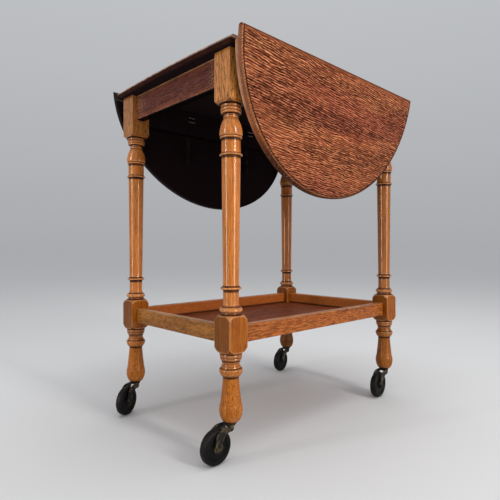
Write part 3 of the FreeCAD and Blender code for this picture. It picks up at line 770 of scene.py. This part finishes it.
    @staticmethod
    def depths(rows: np.ndarray, hollow: float = 1.7, crest: float = 3.5, deep: float = 2.6,
               proud: float = 3.0, widest: float = 22.0) -> tuple[np.ndarray, np.ndarray]:
        """How far each place of the outline lies below or above what is beside it.

        Args:
            rows: the outline.
            hollow: how far up and down to look for what stands higher, in millimetres.
            crest: how far to look for what lies lower.
            deep: depth of a hollow that is fully darkened, dirt with painted shade.
            proud: height of a crest that is fully lightened, worn with a painted highlight.
            widest: radius above which nothing is turned.

        Returns:
            Darkening of the hollows, dirt with painted shade, and lightening of the crests, worn with
            painted highlights, from 0 to 1.
        """
        apart = np.abs(rows[:, 0][:, None] - rows[:, 0][None, :])
        radii = np.minimum(rows[:, 1], widest)
        highest = np.where(apart <= hollow, radii[None, :], -np.inf).max(axis=1)
        lowest = np.where(apart <= crest, radii[None, :], np.inf).min(axis=1)
        return np.clip((highest - radii) / deep, 0, 1), np.clip((radii - lowest) / proud, 0, 1)

    def on_shoulders(self, rows: np.ndarray) -> tuple[np.ndarray, np.ndarray]:
        """Which rows of the outline lie on the blocks' turned shoulders.

        Args:
            rows: the outline.

        Returns:
            Whether each row is on a lower shoulder, and whether it is on an upper one.
        """
        z, (low, high), top = rows[:, 0], self.lower_block, self.upper_block[0]
        rise = self.lower_shoulder[0]
        lower = (z >= low) & (z <= low + rise) | (z >= top) & (z <= top + self.upper_shoulder[0])
        return lower, (z >= high - rise) & (z <= high)

    def middle_x(self, leg: Leg) -> float:
        """Place of a leg's axis along X, in millimetres."""
        return leg.side_x * self.pitch_x / 2 + MIDDLE_X

    def mesh(self, leg: Leg, material: bpy.types.Material) -> bpy.types.Object:
        """One leg, with the dirt and painted shade, and the worn marks and painted highlights, of each of
        its points.

        Args:
            leg: the leg.
            material: its finish.

        Returns:
            The piece.
        """
        rows = self.outline()
        grime, wear = self.depths(rows)
        angles = np.arange(self.around) * 2 * math.pi / self.around
        square = self.block / 2 / np.maximum(np.abs(np.cos(angles)), np.abs(np.sin(angles)))
        radii = np.minimum(rows[:, 1][:, None], square[None, :])
        grid = np.empty((len(rows), self.around, 3))
        grid[:, :, 0] = self.middle_x(leg) + radii * np.cos(angles)
        grid[:, :, 1] = leg.side_y * self.pitch_y / 2 + radii * np.sin(angles)
        grid[:, :, 2] = rows[:, 0][:, None]
        piece = add_mesh("turned_leg_" + leg.name, grid.reshape(-1, 3) * MM, skin(len(rows), self.around),
                         material, 32.0)
        low, high = self.on_shoulders(rows)
        past = rows[:, 1][:, None] - square[None, :]
        turned = past < -self.turned_band
        rim = (np.abs(past) < self.rim_band) & (low | high)[:, None]
        arris = (past > 0) & (square.max() - square < self.arris_band)[None, :]
        # the first mark: dirt with painted shade in the hollows, and painted shade on the turned shoulders
        # that face down
        # the second mark: worn arrises and crests, with painted highlights on the crests, on the shoulder
        # rims and on the turned shoulders that face up
        shades = {"grime": np.maximum(grime[:, None], turned * low[:, None] * 0.42),
                  "wear": np.maximum.reduce([np.repeat(wear[:, None], self.around, 1) * 0.6, arris * 0.9,
                                             rim * 0.7, turned * high[:, None] * 0.9])}
        for key, values in shades.items():
            layer = piece.data.attributes.new(key, "FLOAT", "POINT")
            layer.data.foreach_set("value", values.astype(np.float32).reshape(-1))
        return piece

    def on_lower_block(self, height: Sock) -> Sock:
        """Mask of the lower block."""
        low, high = self.lower_block
        return height.span(low - 2.4, low + 3.6) * height.span(high + 0.5, high - 4.0)

    def masks(self, place: Sock, leg: Leg) -> Masks:
        """Dirt and painted shade in the hollows, painted light and shade on blocks, shaft and foot, and worn
        crests with painted highlights.

        Args:
            place: point of the surface.
            leg: the leg.

        Returns:
            The layers.
        """
        grime, wear = place.shader.painted("grime"), place.shader.painted("wear")
        height = place.axis("Z")
        patch = place.noise((60.0, 60.0, 30.0)).ramp(0.35, 0.65)
        spots = place.noise((260.0, 260.0, 170.0)).ramp(0.60, 0.68)
        pits = place.noise((420.0, 420.0, 330.0), 2.0).ramp(0.56, 0.64)
        lines = place.turned("X", 8.0).noise((330.0, 330.0, 55.0)).ramp(0.53, 0.62)
        half, (low, high), top = self.block / 2, self.lower_block, self.upper_block[0]
        foot = height.span(low - 10.4, low - 22.4)
        block = height.span(top + 3.5, top + 5.5)
        shaft = height.span(high - 1.0, high + 11.0) * height.span(top, top - 16.0)
        lower = self.on_lower_block(height)
        # the lower block's -X face painted darker: painted shade on the side away from the light
        outer = (self.middle_x(leg) * MM - place.axis("X")).span(half - 0.85, half - 0.25) * lower
        return [
            # tone of the foot, the shaft and the upper block, scaled by each leg's painted light and shade;
            # the upper block's paler tone is painted light
            (foot, (1.18 * leg.foot, 1.25 * leg.foot, 1.10 * leg.foot), "MULTIPLY"),
            (shaft, (1.80 * leg.shaft, 2.00 * leg.shaft, 3.10 * leg.shaft), "MULTIPLY"),
            (block, (2.05 * leg.block, 2.75 * leg.block, 6.00 * leg.block), "MULTIPLY"),
            (outer, (0.70, 0.72, 0.72), "MULTIPLY"),
            (lower, (1.06, 1.02, 0.40), "MULTIPLY"),
            (lower * lines * 0.45, (0.16, 0.045, 0.006)),
            (block * lines * 0.8, (0.125, 0.040, 0.010)),
            # worn arrises and crests with painted highlights, and painted highlights on the shoulders
            (wear * (0.22 + patch * 0.38), (0.82, 0.40, 0.17)),
            (foot * pits * 0.75, (0.13, 0.036, 0.008)),
            (spots * patch * 0.5, (0.10, 0.030, 0.008)),
            # dirt and painted shade in the hollows
            (grime.ramp(0.14, 0.62) * (0.84 + patch * 0.16), (0.032, 0.008, 0.003)),
        ]

    def gloss(self, place: Sock) -> Sock:
        """Polish: worn off the feet, thin on the lower blocks and dull in the hollows.

        Args:
            place: point of the surface.

        Returns:
            The share of the polish that is left.
        """
        height, low = place.axis("Z"), self.lower_block[0]
        hollow = place.shader.painted("grime").ramp(0.14, 0.62)
        above = height.span(low - 47.4, low - 7.4) * 0.75 + 0.25
        return above * (1.0 - hollow * 0.9) * (1.0 - self.on_lower_block(height) * 0.6)

    def build(self) -> None:
        """Makes the four legs, which stand for their CAD nodes."""
        for index, leg in enumerate(self.legs):
            finish = replace(GOLDEN, name="golden_oak_" + leg.name, seed=1.0 + index * 3.7)
            piece = self.mesh(leg, finish.build(partial(self.masks, leg=leg), self.gloss))
            fix(piece, "frame")
            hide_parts("leg_" + leg.name)


# --- boards -------------------------------------------------------------------------------------
@dataclass
class Boards:
    """Fixed top and the two half oval leaves."""

    length: float = 570.0
    top_width: float = 395.0
    top_z: float = 722.5
    thickness: float = 16.5
    leaf_depth: float = 264.0
    joint_gap: float = 0.8
    pivot_in: float = 16.9
    pivot_drop: float = 8.2
    lean: float = 8.5
    mould: float = 6.0

    def leaf_frame(self, place: Sock) -> tuple[Sock, Sock]:
        """Turns a point into the hanging leaf's own directions.

        Args:
            place: point of the surface.

        Returns:
            Distance from the pivot down the leaf, and through it towards its outer face.
        """
        angle = math.radians(90 + self.lean)
        across = abs(place.axis("Y")) - (self.top_width / 2 + self.joint_gap + self.pivot_in) * MM
        height = place.axis("Z") - (self.top_z - self.pivot_drop) * MM
        return (across * math.cos(angle) - height * math.sin(angle),
                across * math.sin(angle) + height * math.cos(angle))

    def leaf_gloss(self, place: Sock) -> Sock:
        """Polish of a leaf, which its inner face never had."""
        under = self.pivot_drop - self.thickness
        return self.leaf_frame(place)[1].span(under + 1.6, under + 3.0)

    def leaf_masks(self, place: Sock, stain_and_shade: float) -> Masks:
        """Lighter moulded edge, dark quirk, and painted shade on the edges, by the hinge and on the
        unpolished inner face.

        Args:
            place: point of the surface.
            stain_and_shade: how far the dark stain and painted shade of the inner face come round the edge,
                in millimetres.

        Returns:
            The layers.
        """
        half, deep, under = self.length / 2 * MM, self.leaf_depth * MM, self.pivot_drop - self.thickness
        out, up = self.leaf_frame(place)
        x = (place.axis("X") - MIDDLE_X * MM) / half
        v = (out + self.pivot_in * MM) / deep
        slope = ((x * x) / half ** 2 + (v * v) / deep ** 2).root()
        inset = (1.0 - (x * x + v * v)) / (slope * 2.0)
        patch = place.noise((25.0, 60.0, 60.0)).ramp(0.35, 0.65)
        chips = place.noise((420.0, 420.0, 260.0), 3.0, 0.7).ramp(0.60, 0.66)
        moulded = inset.span(self.mould + 0.4, self.mould - 0.8)
        quirk = inset.span(4.8, 5.6) * inset.span(8.0, 6.8)
        rubbed = inset.span(16.0, 4.0) * (patch * 0.8 + 0.1)
        inside = up.span(under + stain_and_shade + 0.8, under + stain_and_shade)
        # painted shade in the hollow by the hinge edge, where the leaf meets the top
        hollow = v.ramp(0.02, 0.0) * up.span(6.6, 5.2)
        # the outer arris painted pale: wear with a painted highlight
        arris = inset.span(2.4, 0.6) * v.ramp(0.70, 0.35)
        side = inset.span(3.0, 1.2) * v.ramp(0.80, 0.35)
        # a dark band on the rounded side of the edge: painted shade
        side_shade = side * up.span(-0.4, 1.4) * up.span(6.2, 4.6)
        inner_arris = side * up.span(-2.8, -4.4)
        # the right and the lower edges painted dark: painted shade on the moulding that turns away from the
        # light
        lower_edge_shade = inset.span(5.2, 2.0) * v.ramp(0.55, 0.80)
        lower_edge_shade = lower_edge_shade.larger(inset.span(10.0, 7.4) * x.ramp(0.15, 0.50))
        # painted shade along the brink of the hinge edge
        brink = v.ramp(0.016, 0.008) * up.span(6.0, 7.6)
        lip = v.ramp(0.036, 0.016)
        # painted shade in the cove under the hinge edge
        cove = v.ramp(0.090, 0.065) * up.span(6.0, 4.5) * inset.span(1.5, 3.5)
        broad = place.turned("Y", 4.0).noise((1.8, 14.0, 14.0), 3.0, 0.55, (stain_and_shade, 0.4, 2.2))
        # painted shade: the leaf darker towards its right end and its lower part
        shaded = x.ramp(-0.2, 1.0).larger(v.ramp(0.1, 1.0) * 0.6)
        return [
            (broad.ramp(0.46, 0.62) * (x.ramp(-1.0, 0.0) * 0.6 + 0.2), (0.69, 0.57, 0.70), "MULTIPLY"),
            (shaded * 0.6, (0.78, 0.76, 0.82), "MULTIPLY"),
            (moulded * (0.35 + patch * 0.3), (0.45, 0.15, 0.045)),
            (quirk * (0.60 + patch * 0.3), (0.020, 0.007, 0.004)),
            (arris * (0.25 + patch * 0.35), (0.72, 0.36, 0.20)),
            (side_shade * (0.50 + patch * 0.3), (0.10, 0.028, 0.012)),
            (inner_arris * (0.35 + patch * 0.4), (0.80, 0.46, 0.28)),
            (lower_edge_shade * 0.9, (0.045, 0.013, 0.006)),
            (rubbed * chips, (0.75, 0.48, 0.32)),
            (lip * 0.65, (0.30, 0.082, 0.028)),
            (cove * 0.92, (0.060, 0.020, 0.011)),
            (hollow, (0.030, 0.012, 0.007)),
            (brink * 0.6, (0.030, 0.010, 0.006)),
            # the inner face: dark unpolished wood with painted shade
            (inside, UNDERSIDE_STAIN_AND_SHADE),
        ]

    def top_masks(self, place: Sock) -> Masks:
        """Dark edge of the top with a pale band, worn and a painted highlight, and painted shade on its
        unpolished underside.

        Args:
            place: point of the surface.

        Returns:
            The layers.
        """
        height, low, high = place.axis("Z"), self.top_z - self.thickness, self.top_z
        patch = place.noise((60.0, 60.0, 90.0)).ramp(0.4, 0.7)
        edge = height.span(high - 0.2, high - 1.0)
        # a pale band along the upper part of the edge: wear with a painted highlight
        line = height.span(high - 7.8, high - 5.5)
        return [
            (edge * (0.98 - patch * 0.08), (0.024, 0.0065, 0.004)),
            (edge * line * (0.45 + patch * 0.55), (0.60, 0.36, 0.27)),
            # the underside: dark unpolished wood with painted shade
            (height.span(low + 1.2, low + 0.4), UNDERSIDE_STAIN_AND_SHADE),
        ]

    def top_gloss(self, place: Sock) -> Sock:
        """Polish of the top, which its edge has lost."""
        return place.axis("Z").span(self.top_z - 1.0, self.top_z - 0.2)

    def build(self) -> None:
        """Dresses the top and the leaves."""
        top = replace(BOARD, name="board_oak_top", light=(0.62, 0.20, 0.075), stroke_show=0.6, rough=0.6,
                      shine=0.02, seed=3.0)
        paint(top.build(self.top_masks, self.top_gloss), "top_panel")
        for side, seed, stain_and_shade in (("near", 1.0, 1.4), ("far", 3.6, 11.0)):
            finish = replace(BOARD, name="board_oak_leaf_" + side, seed=seed)
            paint(finish.build(partial(self.leaf_masks, stain_and_shade=stain_and_shade), self.leaf_gloss), "leaf_" + side)


# --- frame and tray -----------------------------------------------------------------------------
@dataclass
class Underframe:
    """Aprons and glue blocks under the top."""

    end_bottom: float = 652.5
    side_bottom: float = 646.5
    top: float = 706.0
    inner_x: float = 247.0
    inner_y: float = 156.0
    leg_y: float = 144.35

    @staticmethod
    def shaded(height: Sock, across: Sock, inner: float, bottom: float) -> Masks:
        """Painted shade on an apron's inner face, with its dark unpolished wood, and on its lower edge.

        Args:
            height: height of the point.
            across: its distance from the trolley's middle, across the apron.
            inner: where the inner face lies, in millimetres.
            bottom: height of the lower edge, in millimetres.

        Returns:
            The layers.
        """
        # the inner face and the lower edge painted dark: painted shade
        return [(across.span(inner + 2.2, inner + 0.6), UNDERSIDE_STAIN_AND_SHADE),
                (height.span(bottom + 1.2, bottom + 0.4), (0.005, 0.003, 0.003))]

    @staticmethod
    def gloss(place: Sock, name: str, inner: float) -> Sock:
        """Polish of an apron that lies across an axis, but not of its inner face."""
        return place.from_middle(name).span(inner + 0.6, inner + 2.2)

    def side_masks(self, place: Sock) -> Masks:
        """Layers of the side aprons: dull, with painted shade on the unpolished inner face and on the lower
        edge.
        """
        return self.shaded(place.axis("Z"), place.from_middle("Y"), self.inner_y, self.side_bottom)

    def end_masks(self, place: Sock) -> Masks:
        """End aprons: scuffed, with pale specks by the legs, a rubbed line under the top, and painted shade
        inside and along the lower edge.

        Args:
            place: point of the surface.

        Returns:
            The layers.
        """
        height, along, low, top = place.axis("Z"), place.from_middle("Y"), self.end_bottom, self.top
        specks = place.noise((430.0, 430.0, 360.0), 3.0, 0.65).ramp(0.50, 0.64)
        fine = place.noise((520.0, 520.0, 260.0), 3.0, 0.7).ramp(0.52, 0.64)
        wide = place.noise((30.0, 22.0, 34.0)).ramp(0.40, 0.66)
        by_legs = along.span(self.leg_y - 46.0, self.leg_y - 10.0)
        line = height.span(top - 3.0, top - 1.8)
        foot = height.span(low + 5.0, low + 1.0)
        rim = height.span(top - 18.0, top - 2.0).larger(height.span(low + 16.0, low + 2.0))
        return [
            (rim * (0.15 + wide * 0.5), (0.34, 0.100, 0.040)),
            (fine * (0.12 + wide * 0.15), (0.34, 0.15, 0.10)),
            (specks * (by_legs * (0.45 + wide * 0.65) + foot * wide * 0.5), (0.76, 0.40, 0.20)),
            (line * (0.35 + wide * 0.4 + fine * 0.3), (0.76, 0.38, 0.18)),
            (foot * specks * 0.6, (0.60, 0.30, 0.15)),
        ] + self.shaded(height, place.from_middle("X"), self.inner_x, low)

    def build(self) -> None:
        """Dresses the aprons and the blocks."""
        end_gloss, side_gloss = (partial(self.gloss, name=name, inner=inner)
                                 for name, inner in (("X", self.inner_x), ("Y", self.inner_y)))
        paint(END_APRON.build(self.end_masks, end_gloss), "apron_left", "apron_right")
        paint(APRON.build(self.side_masks, side_gloss), "apron_near", "apron_far")
        paint(PINE.build(), "corner_blocks")


@dataclass
class Tray:
    """Rails round the lower tray and its panel."""

    rail_z: float = 198.5
    rail_height: float = 31.5
    panel_z: float = 203.5
    inner_x: float = 247.0
    inner_y: float = 156.0

    def rail_masks(self, place: Sock) -> Masks:
        """Lighter upper arris, worn with a painted highlight, dark flecks, redder inner faces and painted
        shade along the panel.

        Args:
            place: point of the surface.

        Returns:
            The layers.
        """
        height, top = place.axis("Z"), self.rail_z + self.rail_height
        # the upper arris painted lighter: wear with a painted highlight
        edge = height.span(top - 3.2, top - 1.0)
        dents = place.noise((170.0, 170.0, 240.0), 3.0, 0.65).ramp(0.57, 0.64)
        patch = place.noise((30.0, 30.0, 60.0)).ramp(0.4, 0.7)
        inside = place.from_middle("X").span(self.inner_x + 4.0, self.inner_x + 1.0)
        inside = inside * place.from_middle("Y").span(self.inner_y + 4.0, self.inner_y + 1.0)
        # painted shade where the inner faces meet the panel
        dirt = height.span(self.panel_z + 5.0, self.panel_z + 1.2)
        return [
            (edge * (0.15 + patch * 0.4), (0.55, 0.29, 0.13)),
            (dents * (0.40 + patch * 0.5), (0.075, 0.020, 0.006)),
            (inside * 0.6, (0.58, 0.150, 0.030)),
            (inside * dirt * 0.85, (0.022, 0.008, 0.005)),
        ]

    def panel_masks(self, place: Sock) -> Masks:
        """Layer of painted shade in the corner between the panel and the rails."""
        ends, sides = (place.from_middle(name).span(inner - 16.0, inner - 1.0)
                       for name, inner in (("X", self.inner_x), ("Y", self.inner_y)))
        return [(ends.larger(sides) * 0.8, (0.026, 0.008, 0.005))]

    def build(self) -> None:
        """Dresses the rails and the panel."""
        paint(END_RAIL.build(self.rail_masks), "tray_rail_left", "tray_rail_right")
        paint(RAIL.build(self.rail_masks), "tray_rail_near", "tray_rail_far")
        paint(PANEL.build(self.panel_masks), "tray_panel")


# --- ironmongery --------------------------------------------------------------------------------
@dataclass
class Screws:
    """Slotted screw heads, joined into one piece for each body."""

    radius: float = 3.0
    crown: float = 2.55
    rise: float = 0.5
    slot: float = 0.7
    around: int = 24
    material: bpy.types.Material = field(default_factory=SCREW_STEEL.build)

    def head(self, centre: Point, normal: Point, turn: float) -> tuple[list[Vector], Faces]:
        """One head.

        Args:
            centre: middle of the seat, in millimetres.
            normal: direction that the head faces.
            turn: direction of the slot in degrees.

        Returns:
            Points in millimetres and faces.
        """
        place = Vector(normal).to_track_quat("Z", "Y").to_matrix().to_4x4()
        place = Matrix.Translation(Vector(centre)) @ place @ Matrix.Rotation(math.radians(turn), 4, "Z")
        angles = [2 * math.pi * index / self.around for index in range(self.around)]
        rings = ((self.radius, 0.0), (self.radius, self.rise / 2), (self.crown, self.rise))
        points = [Vector((radius * math.cos(angle), radius * math.sin(angle), height))
                  for radius, height in rings for angle in angles]
        faces = skin(len(rings), self.around, capped=False)
        half, last = self.slot / 2, (len(rings) - 1) * self.around
        reach = math.sqrt(self.crown ** 2 - half ** 2)
        for side in (1, -1):
            start = len(points)
            rim = [last + index for index in range(self.around) if side * points[last + index].y > half]
            points += [Vector((end * side * reach, side * half, height))
                       for height in (self.rise, self.rise / 5) for end in (1, -1)]
            faces += [(start, *rim, start + 1), (start, start + 1, start + 3, start + 2)]
        faces.append((start - 2, start - 1, start + 2, start + 3))
        return [place @ point for point in points], faces

    def group(self, name: str, heads: Sequence[Head], body: str) -> None:
        """Makes the heads of one body as one piece.

        Args:
            name: name of the piece.
            heads: the heads.
            body: CAD body that they ride on.
        """
        points: list[Vector] = []
        faces: Faces = []
        for head in heads:
            start = len(points)
            new_points, new_faces = self.head(*head)
            points += [point * MM for point in new_points]
            faces += [tuple(start + index for index in face) for face in new_faces]
        fix(add_mesh(name, points, faces, self.material, 30.0), body)


@dataclass
class Hinges:
    """Cranked hinges and the screws that hold them."""

    spread: float = 190.0
    plate: float = 2.0
    strap_depth: float = 18.0
    pocket: float = 12.0
    screw_x: float = 15.0
    flap_rows: tuple[float, float] = (9.0, 24.0)
    boards: Boards = field(default_factory=Boards)

    def strap_heads(self, side: int) -> list[Head]:
        """Screws of the fixed halves on one side.

        Args:
            side: -1 near, 1 far.

        Returns:
            The heads.
        """
        under = self.boards.top_z - self.boards.thickness - self.plate
        y = side * (self.boards.top_width / 2 - self.strap_depth / 2)
        return [((index * self.spread + x + MIDDLE_X, y, under), (0.0, 0.0, -1.0), 40.0 * index + 3.0 * x)
                for index in (-1, 0, 1) for x in (-self.screw_x, 0.0, self.screw_x)]

    def flap_heads(self, side: int) -> list[Head]:
        """Screws of the moving halves on one side, with the leaf hanging.

        Args:
            side: -1 near, 1 far.

        Returns:
            The heads.
        """
        boards = self.boards
        angle = math.radians(90 + boards.lean)
        drop = boards.pivot_drop - boards.thickness - self.plate
        heads = []
        for index in (-1, 0, 1):
            for row in self.flap_rows:
                for x in (-self.screw_x, self.screw_x):
                    out = self.pocket + row
                    y = (boards.top_width / 2 + boards.joint_gap + boards.pivot_in
                         + out * math.cos(angle) + drop * math.sin(angle))
                    z = boards.top_z - boards.pivot_drop - out * math.sin(angle) + drop * math.cos(angle)
                    heads.append(((index * self.spread + x + MIDDLE_X, side * y, z),
                                  (0.0, -side * math.sin(angle), -math.cos(angle)), 25.0 * index + 2.0 * x))
        return heads

    def build(self, screws: Screws) -> None:
        """Dresses the hinges and makes their screws.

        Args:
            screws: the maker of screw heads.
        """
        steel = HINGE_STEEL.build()
        for name, side in (("near", -1), ("far", 1)):
            paint(steel, "hinge_straps_" + name, "hinge_flaps_" + name, "hinge_pins_" + name)
            screws.group("strap_screws_" + name, self.strap_heads(side), "frame")
            screws.group("flap_screws_" + name, self.flap_heads(side), "leaf_" + name)


@dataclass
class Stays:
    """Folding stays and their brackets."""

    spread: float = 202.0
    face_y: float = 174.0
    plate: float = 1.8
    axis_z: float = 684.0
    screw_x: float = 10.5
    screw_z: float = 10.0

    def build(self, screws: Screws) -> None:
        """Dresses the stays and makes the brackets' screws.

        Args:
            screws: the maker of screw heads.
        """
        names = ["stay_%s_%s" % (side, end) for side in ("near", "far") for end in ("left", "right")]
        paint(STAY_STEEL.build(), "stay_brackets", "stay_pins", *names)
        face = self.face_y + self.plate
        heads = [((end * self.spread / 2 + x + MIDDLE_X, side * face, self.axis_z + z),
                  (0.0, float(side), 0.0), 30.0 * x + z)
                 for side in (-1, 1) for end in (-1, 1) for x in (-self.screw_x, self.screw_x)
                 for z in (-self.screw_z, self.screw_z)]
        screws.group("bracket_screws", heads, "frame")


@dataclass
class Keepers:
    """Small pressed channels on the inner faces of the side aprons."""

    places: tuple[float, ...] = (-108.0, 93.0)
    face_y: float = 156.0
    middle_z: float = 684.0
    length: float = 18.0
    width: float = 11.0
    lip: float = 3.2
    sheet: float = 1.0

    def masks(self, place: Sock) -> Masks:
        """Layer of painted shade in the bottom of the channels."""
        return [(abs(place.axis("Z") - self.middle_z * MM).span(4.6, 4.0), (0.010, 0.009, 0.008))]

    def build(self) -> None:
        """Makes the channels of each apron as one piece."""
        metal = KEEPER_STEEL.build(self.masks)
        half, inner = self.width / 2, self.width / 2 - self.sheet
        profile = [(-half, 0.0), (-half, self.lip), (-inner, self.lip), (-inner, self.sheet),
                   (inner, self.sheet), (inner, self.lip), (half, self.lip), (half, 0.0)]
        for name, side in (("near", -1), ("far", 1)):
            points: list[Vector] = []
            faces: Faces = []
            for middle in self.places:
                faces += skin(2, len(profile), len(points))
                points += [Vector((middle + end * self.length / 2 + MIDDLE_X, side * (self.face_y - away),
                                   self.middle_z + up)) * MM for end in (-1, 1) for up, away in profile]
            fix(add_mesh("keepers_" + name, points, faces, metal, 30.0), "frame")


class Castors:
    """Swivel castors with hard rubber wheels."""

    def build(self) -> None:
        """Dresses the castors."""
        steel = CASTOR_STEEL.build()
        joints = {joint["name"]: joint for joint in frame["record"]["behaviour"]["joints"]}
        paint(steel, "castor_sockets")
        for leg in TurnedLegs.legs:
            roll = joints["roll_" + leg.name]
            paint(steel, *("castor_%s_%s" % (part, leg.name) for part in ("horn", "stem", "axle", "hub")))
            paint(RUBBER.build(leg.name, roll["pos_m"], roll["axis"]), "castor_wheel_" + leg.name)


# --- studio -------------------------------------------------------------------------------------
@dataclass
class Studio:
    """Floor, light and camera."""

    eye: Point = (-0.7698, -0.7565, 0.3646)
    yaw: float = 46.595
    pitch: float = 0.352
    lens: float = 32.28
    shift_y: float = -0.0084
    floor_half: float = 60.0
    narrow: float = 120.0
    horizon: Colour = (0.395, 0.405, 0.42)
    zenith: Colour = (0.65, 0.665, 0.69)

    def floor(self) -> None:
        """Pale floor."""
        h = self.floor_half
        points = [(-h, -h, 0.0), (h, -h, 0.0), (h, h, 0.0), (-h, h, 0.0)]
        add_mesh("studio_floor", points, [(0, 1, 2, 3)], FLOOR.build())

    def sky(self) -> None:
        """Even pale surroundings, brighter overhead, that meet the floor without a line."""
        shader = Shader(bpy.data.worlds.new("studio"))
        bpy.context.scene.world = shader.owner
        height = shader.node("ShaderNodeTexCoord", output="Generated").axis("Z")
        share = shader.node("ShaderNodeMapRange", inputs={"Value": height})
        colour = shader.blend(share, self.horizon, self.zenith)
        light = shader.node("ShaderNodeBackground", inputs={"Color": colour, "Strength": 1.0})
        shader.node("ShaderNodeOutputWorld", inputs={"Surface": light})

    def lamp(self, name: str, place: Point, target: Point, size: tuple[float, float], power: float,
             colour: Colour = (1.0, 1.0, 1.0), gloss_only: bool = False, spread: float = 180.0) -> None:
        """Adds a soft lamp.

        Args:
            name: name of the lamp.
            place: where it stands.
            target: where it points.
            size: width and height in metres.
            power: watts.
            colour: colour of its light.
            gloss_only: whether it shows only as a reflection, as a strip of white card does.
            spread: angle of its cone of light in degrees.
        """
        data = bpy.data.lights.new(name, "AREA")
        data.shape = "RECTANGLE"
        data.size, data.size_y = size
        data.energy = power
        data.color = colour
        data.spread = math.radians(spread)
        thing = bpy.data.objects.new(name, data)
        thing.location = place
        thing.rotation_euler = (Vector(target) - Vector(place)).to_track_quat("-Z", "Y").to_euler()
        thing.visible_camera = False
        thing.visible_diffuse = not gloss_only
        bpy.context.scene.collection.objects.link(thing)

    def lights(self) -> None:
        """Soft studio light from both sides of the near corner and from above."""
        self.lamp("near_side", (0.15, -2.9, 1.65), (0.0, 0.0, 0.42), (0.36, 1.7), 17.0, (1.0, 0.97, 0.93),
                  spread=self.narrow)
        self.lamp("left_end", (-2.65, 0.70, 1.65), (-0.1, 0.0, 0.45), (0.17, 1.7), 4.2, (0.96, 0.98, 1.0),
                  spread=self.narrow)
        self.lamp("near_strip", (0.15, -2.9, 0.95), (0.0, 0.0, 0.5), (0.75, 2.3), 60.0, CREAM, True)
        self.lamp("left_strip", (-2.77, 0.51, 0.95), (0.0, 0.0, 0.5), (0.6, 2.3), 50.0, CREAM, True)
        self.lamp("overhead", (0.1, -0.3, 2.8), (0.0, 0.0, 0.0), (1.8, 1.8), 26.0)

    def camera(self) -> None:
        """Camera low down in front of the near left corner."""
        data = bpy.data.cameras.new("camera")
        data.sensor_width = 36.0
        data.lens = self.lens
        data.shift_y = self.shift_y
        data.clip_start = 0.02
        thing = bpy.data.objects.new("camera", data)
        yaw, pitch = math.radians(self.yaw), math.radians(self.pitch)
        ahead = Vector((math.cos(yaw) * math.cos(pitch), math.sin(yaw) * math.cos(pitch), math.sin(pitch)))
        thing.location = Vector(self.eye) + Vector((MIDDLE_X * MM, 0.0, 0.0))
        thing.rotation_euler = ahead.to_track_quat("-Z", "Y").to_euler()
        bpy.context.scene.collection.objects.link(thing)
        bpy.context.scene.camera = thing

    def build(self) -> None:
        """Makes the studio."""
        bpy.context.scene.view_settings.view_transform = "Standard"
        self.floor()
        self.sky()
        self.lights()
        self.camera()


def main() -> None:
    """Dresses the trolley and lights it."""
    logging.basicConfig(level=logging.INFO, format="%(name)s: %(message)s")
    TurnedLegs().build()
    Boards().build()
    Underframe().build()
    Tray().build()
    screws = Screws()
    Hinges().build(screws)
    Stays().build(screws)
    Keepers().build()
    Castors().build()
    Studio().build()


if __name__ == "__main__":
    main()
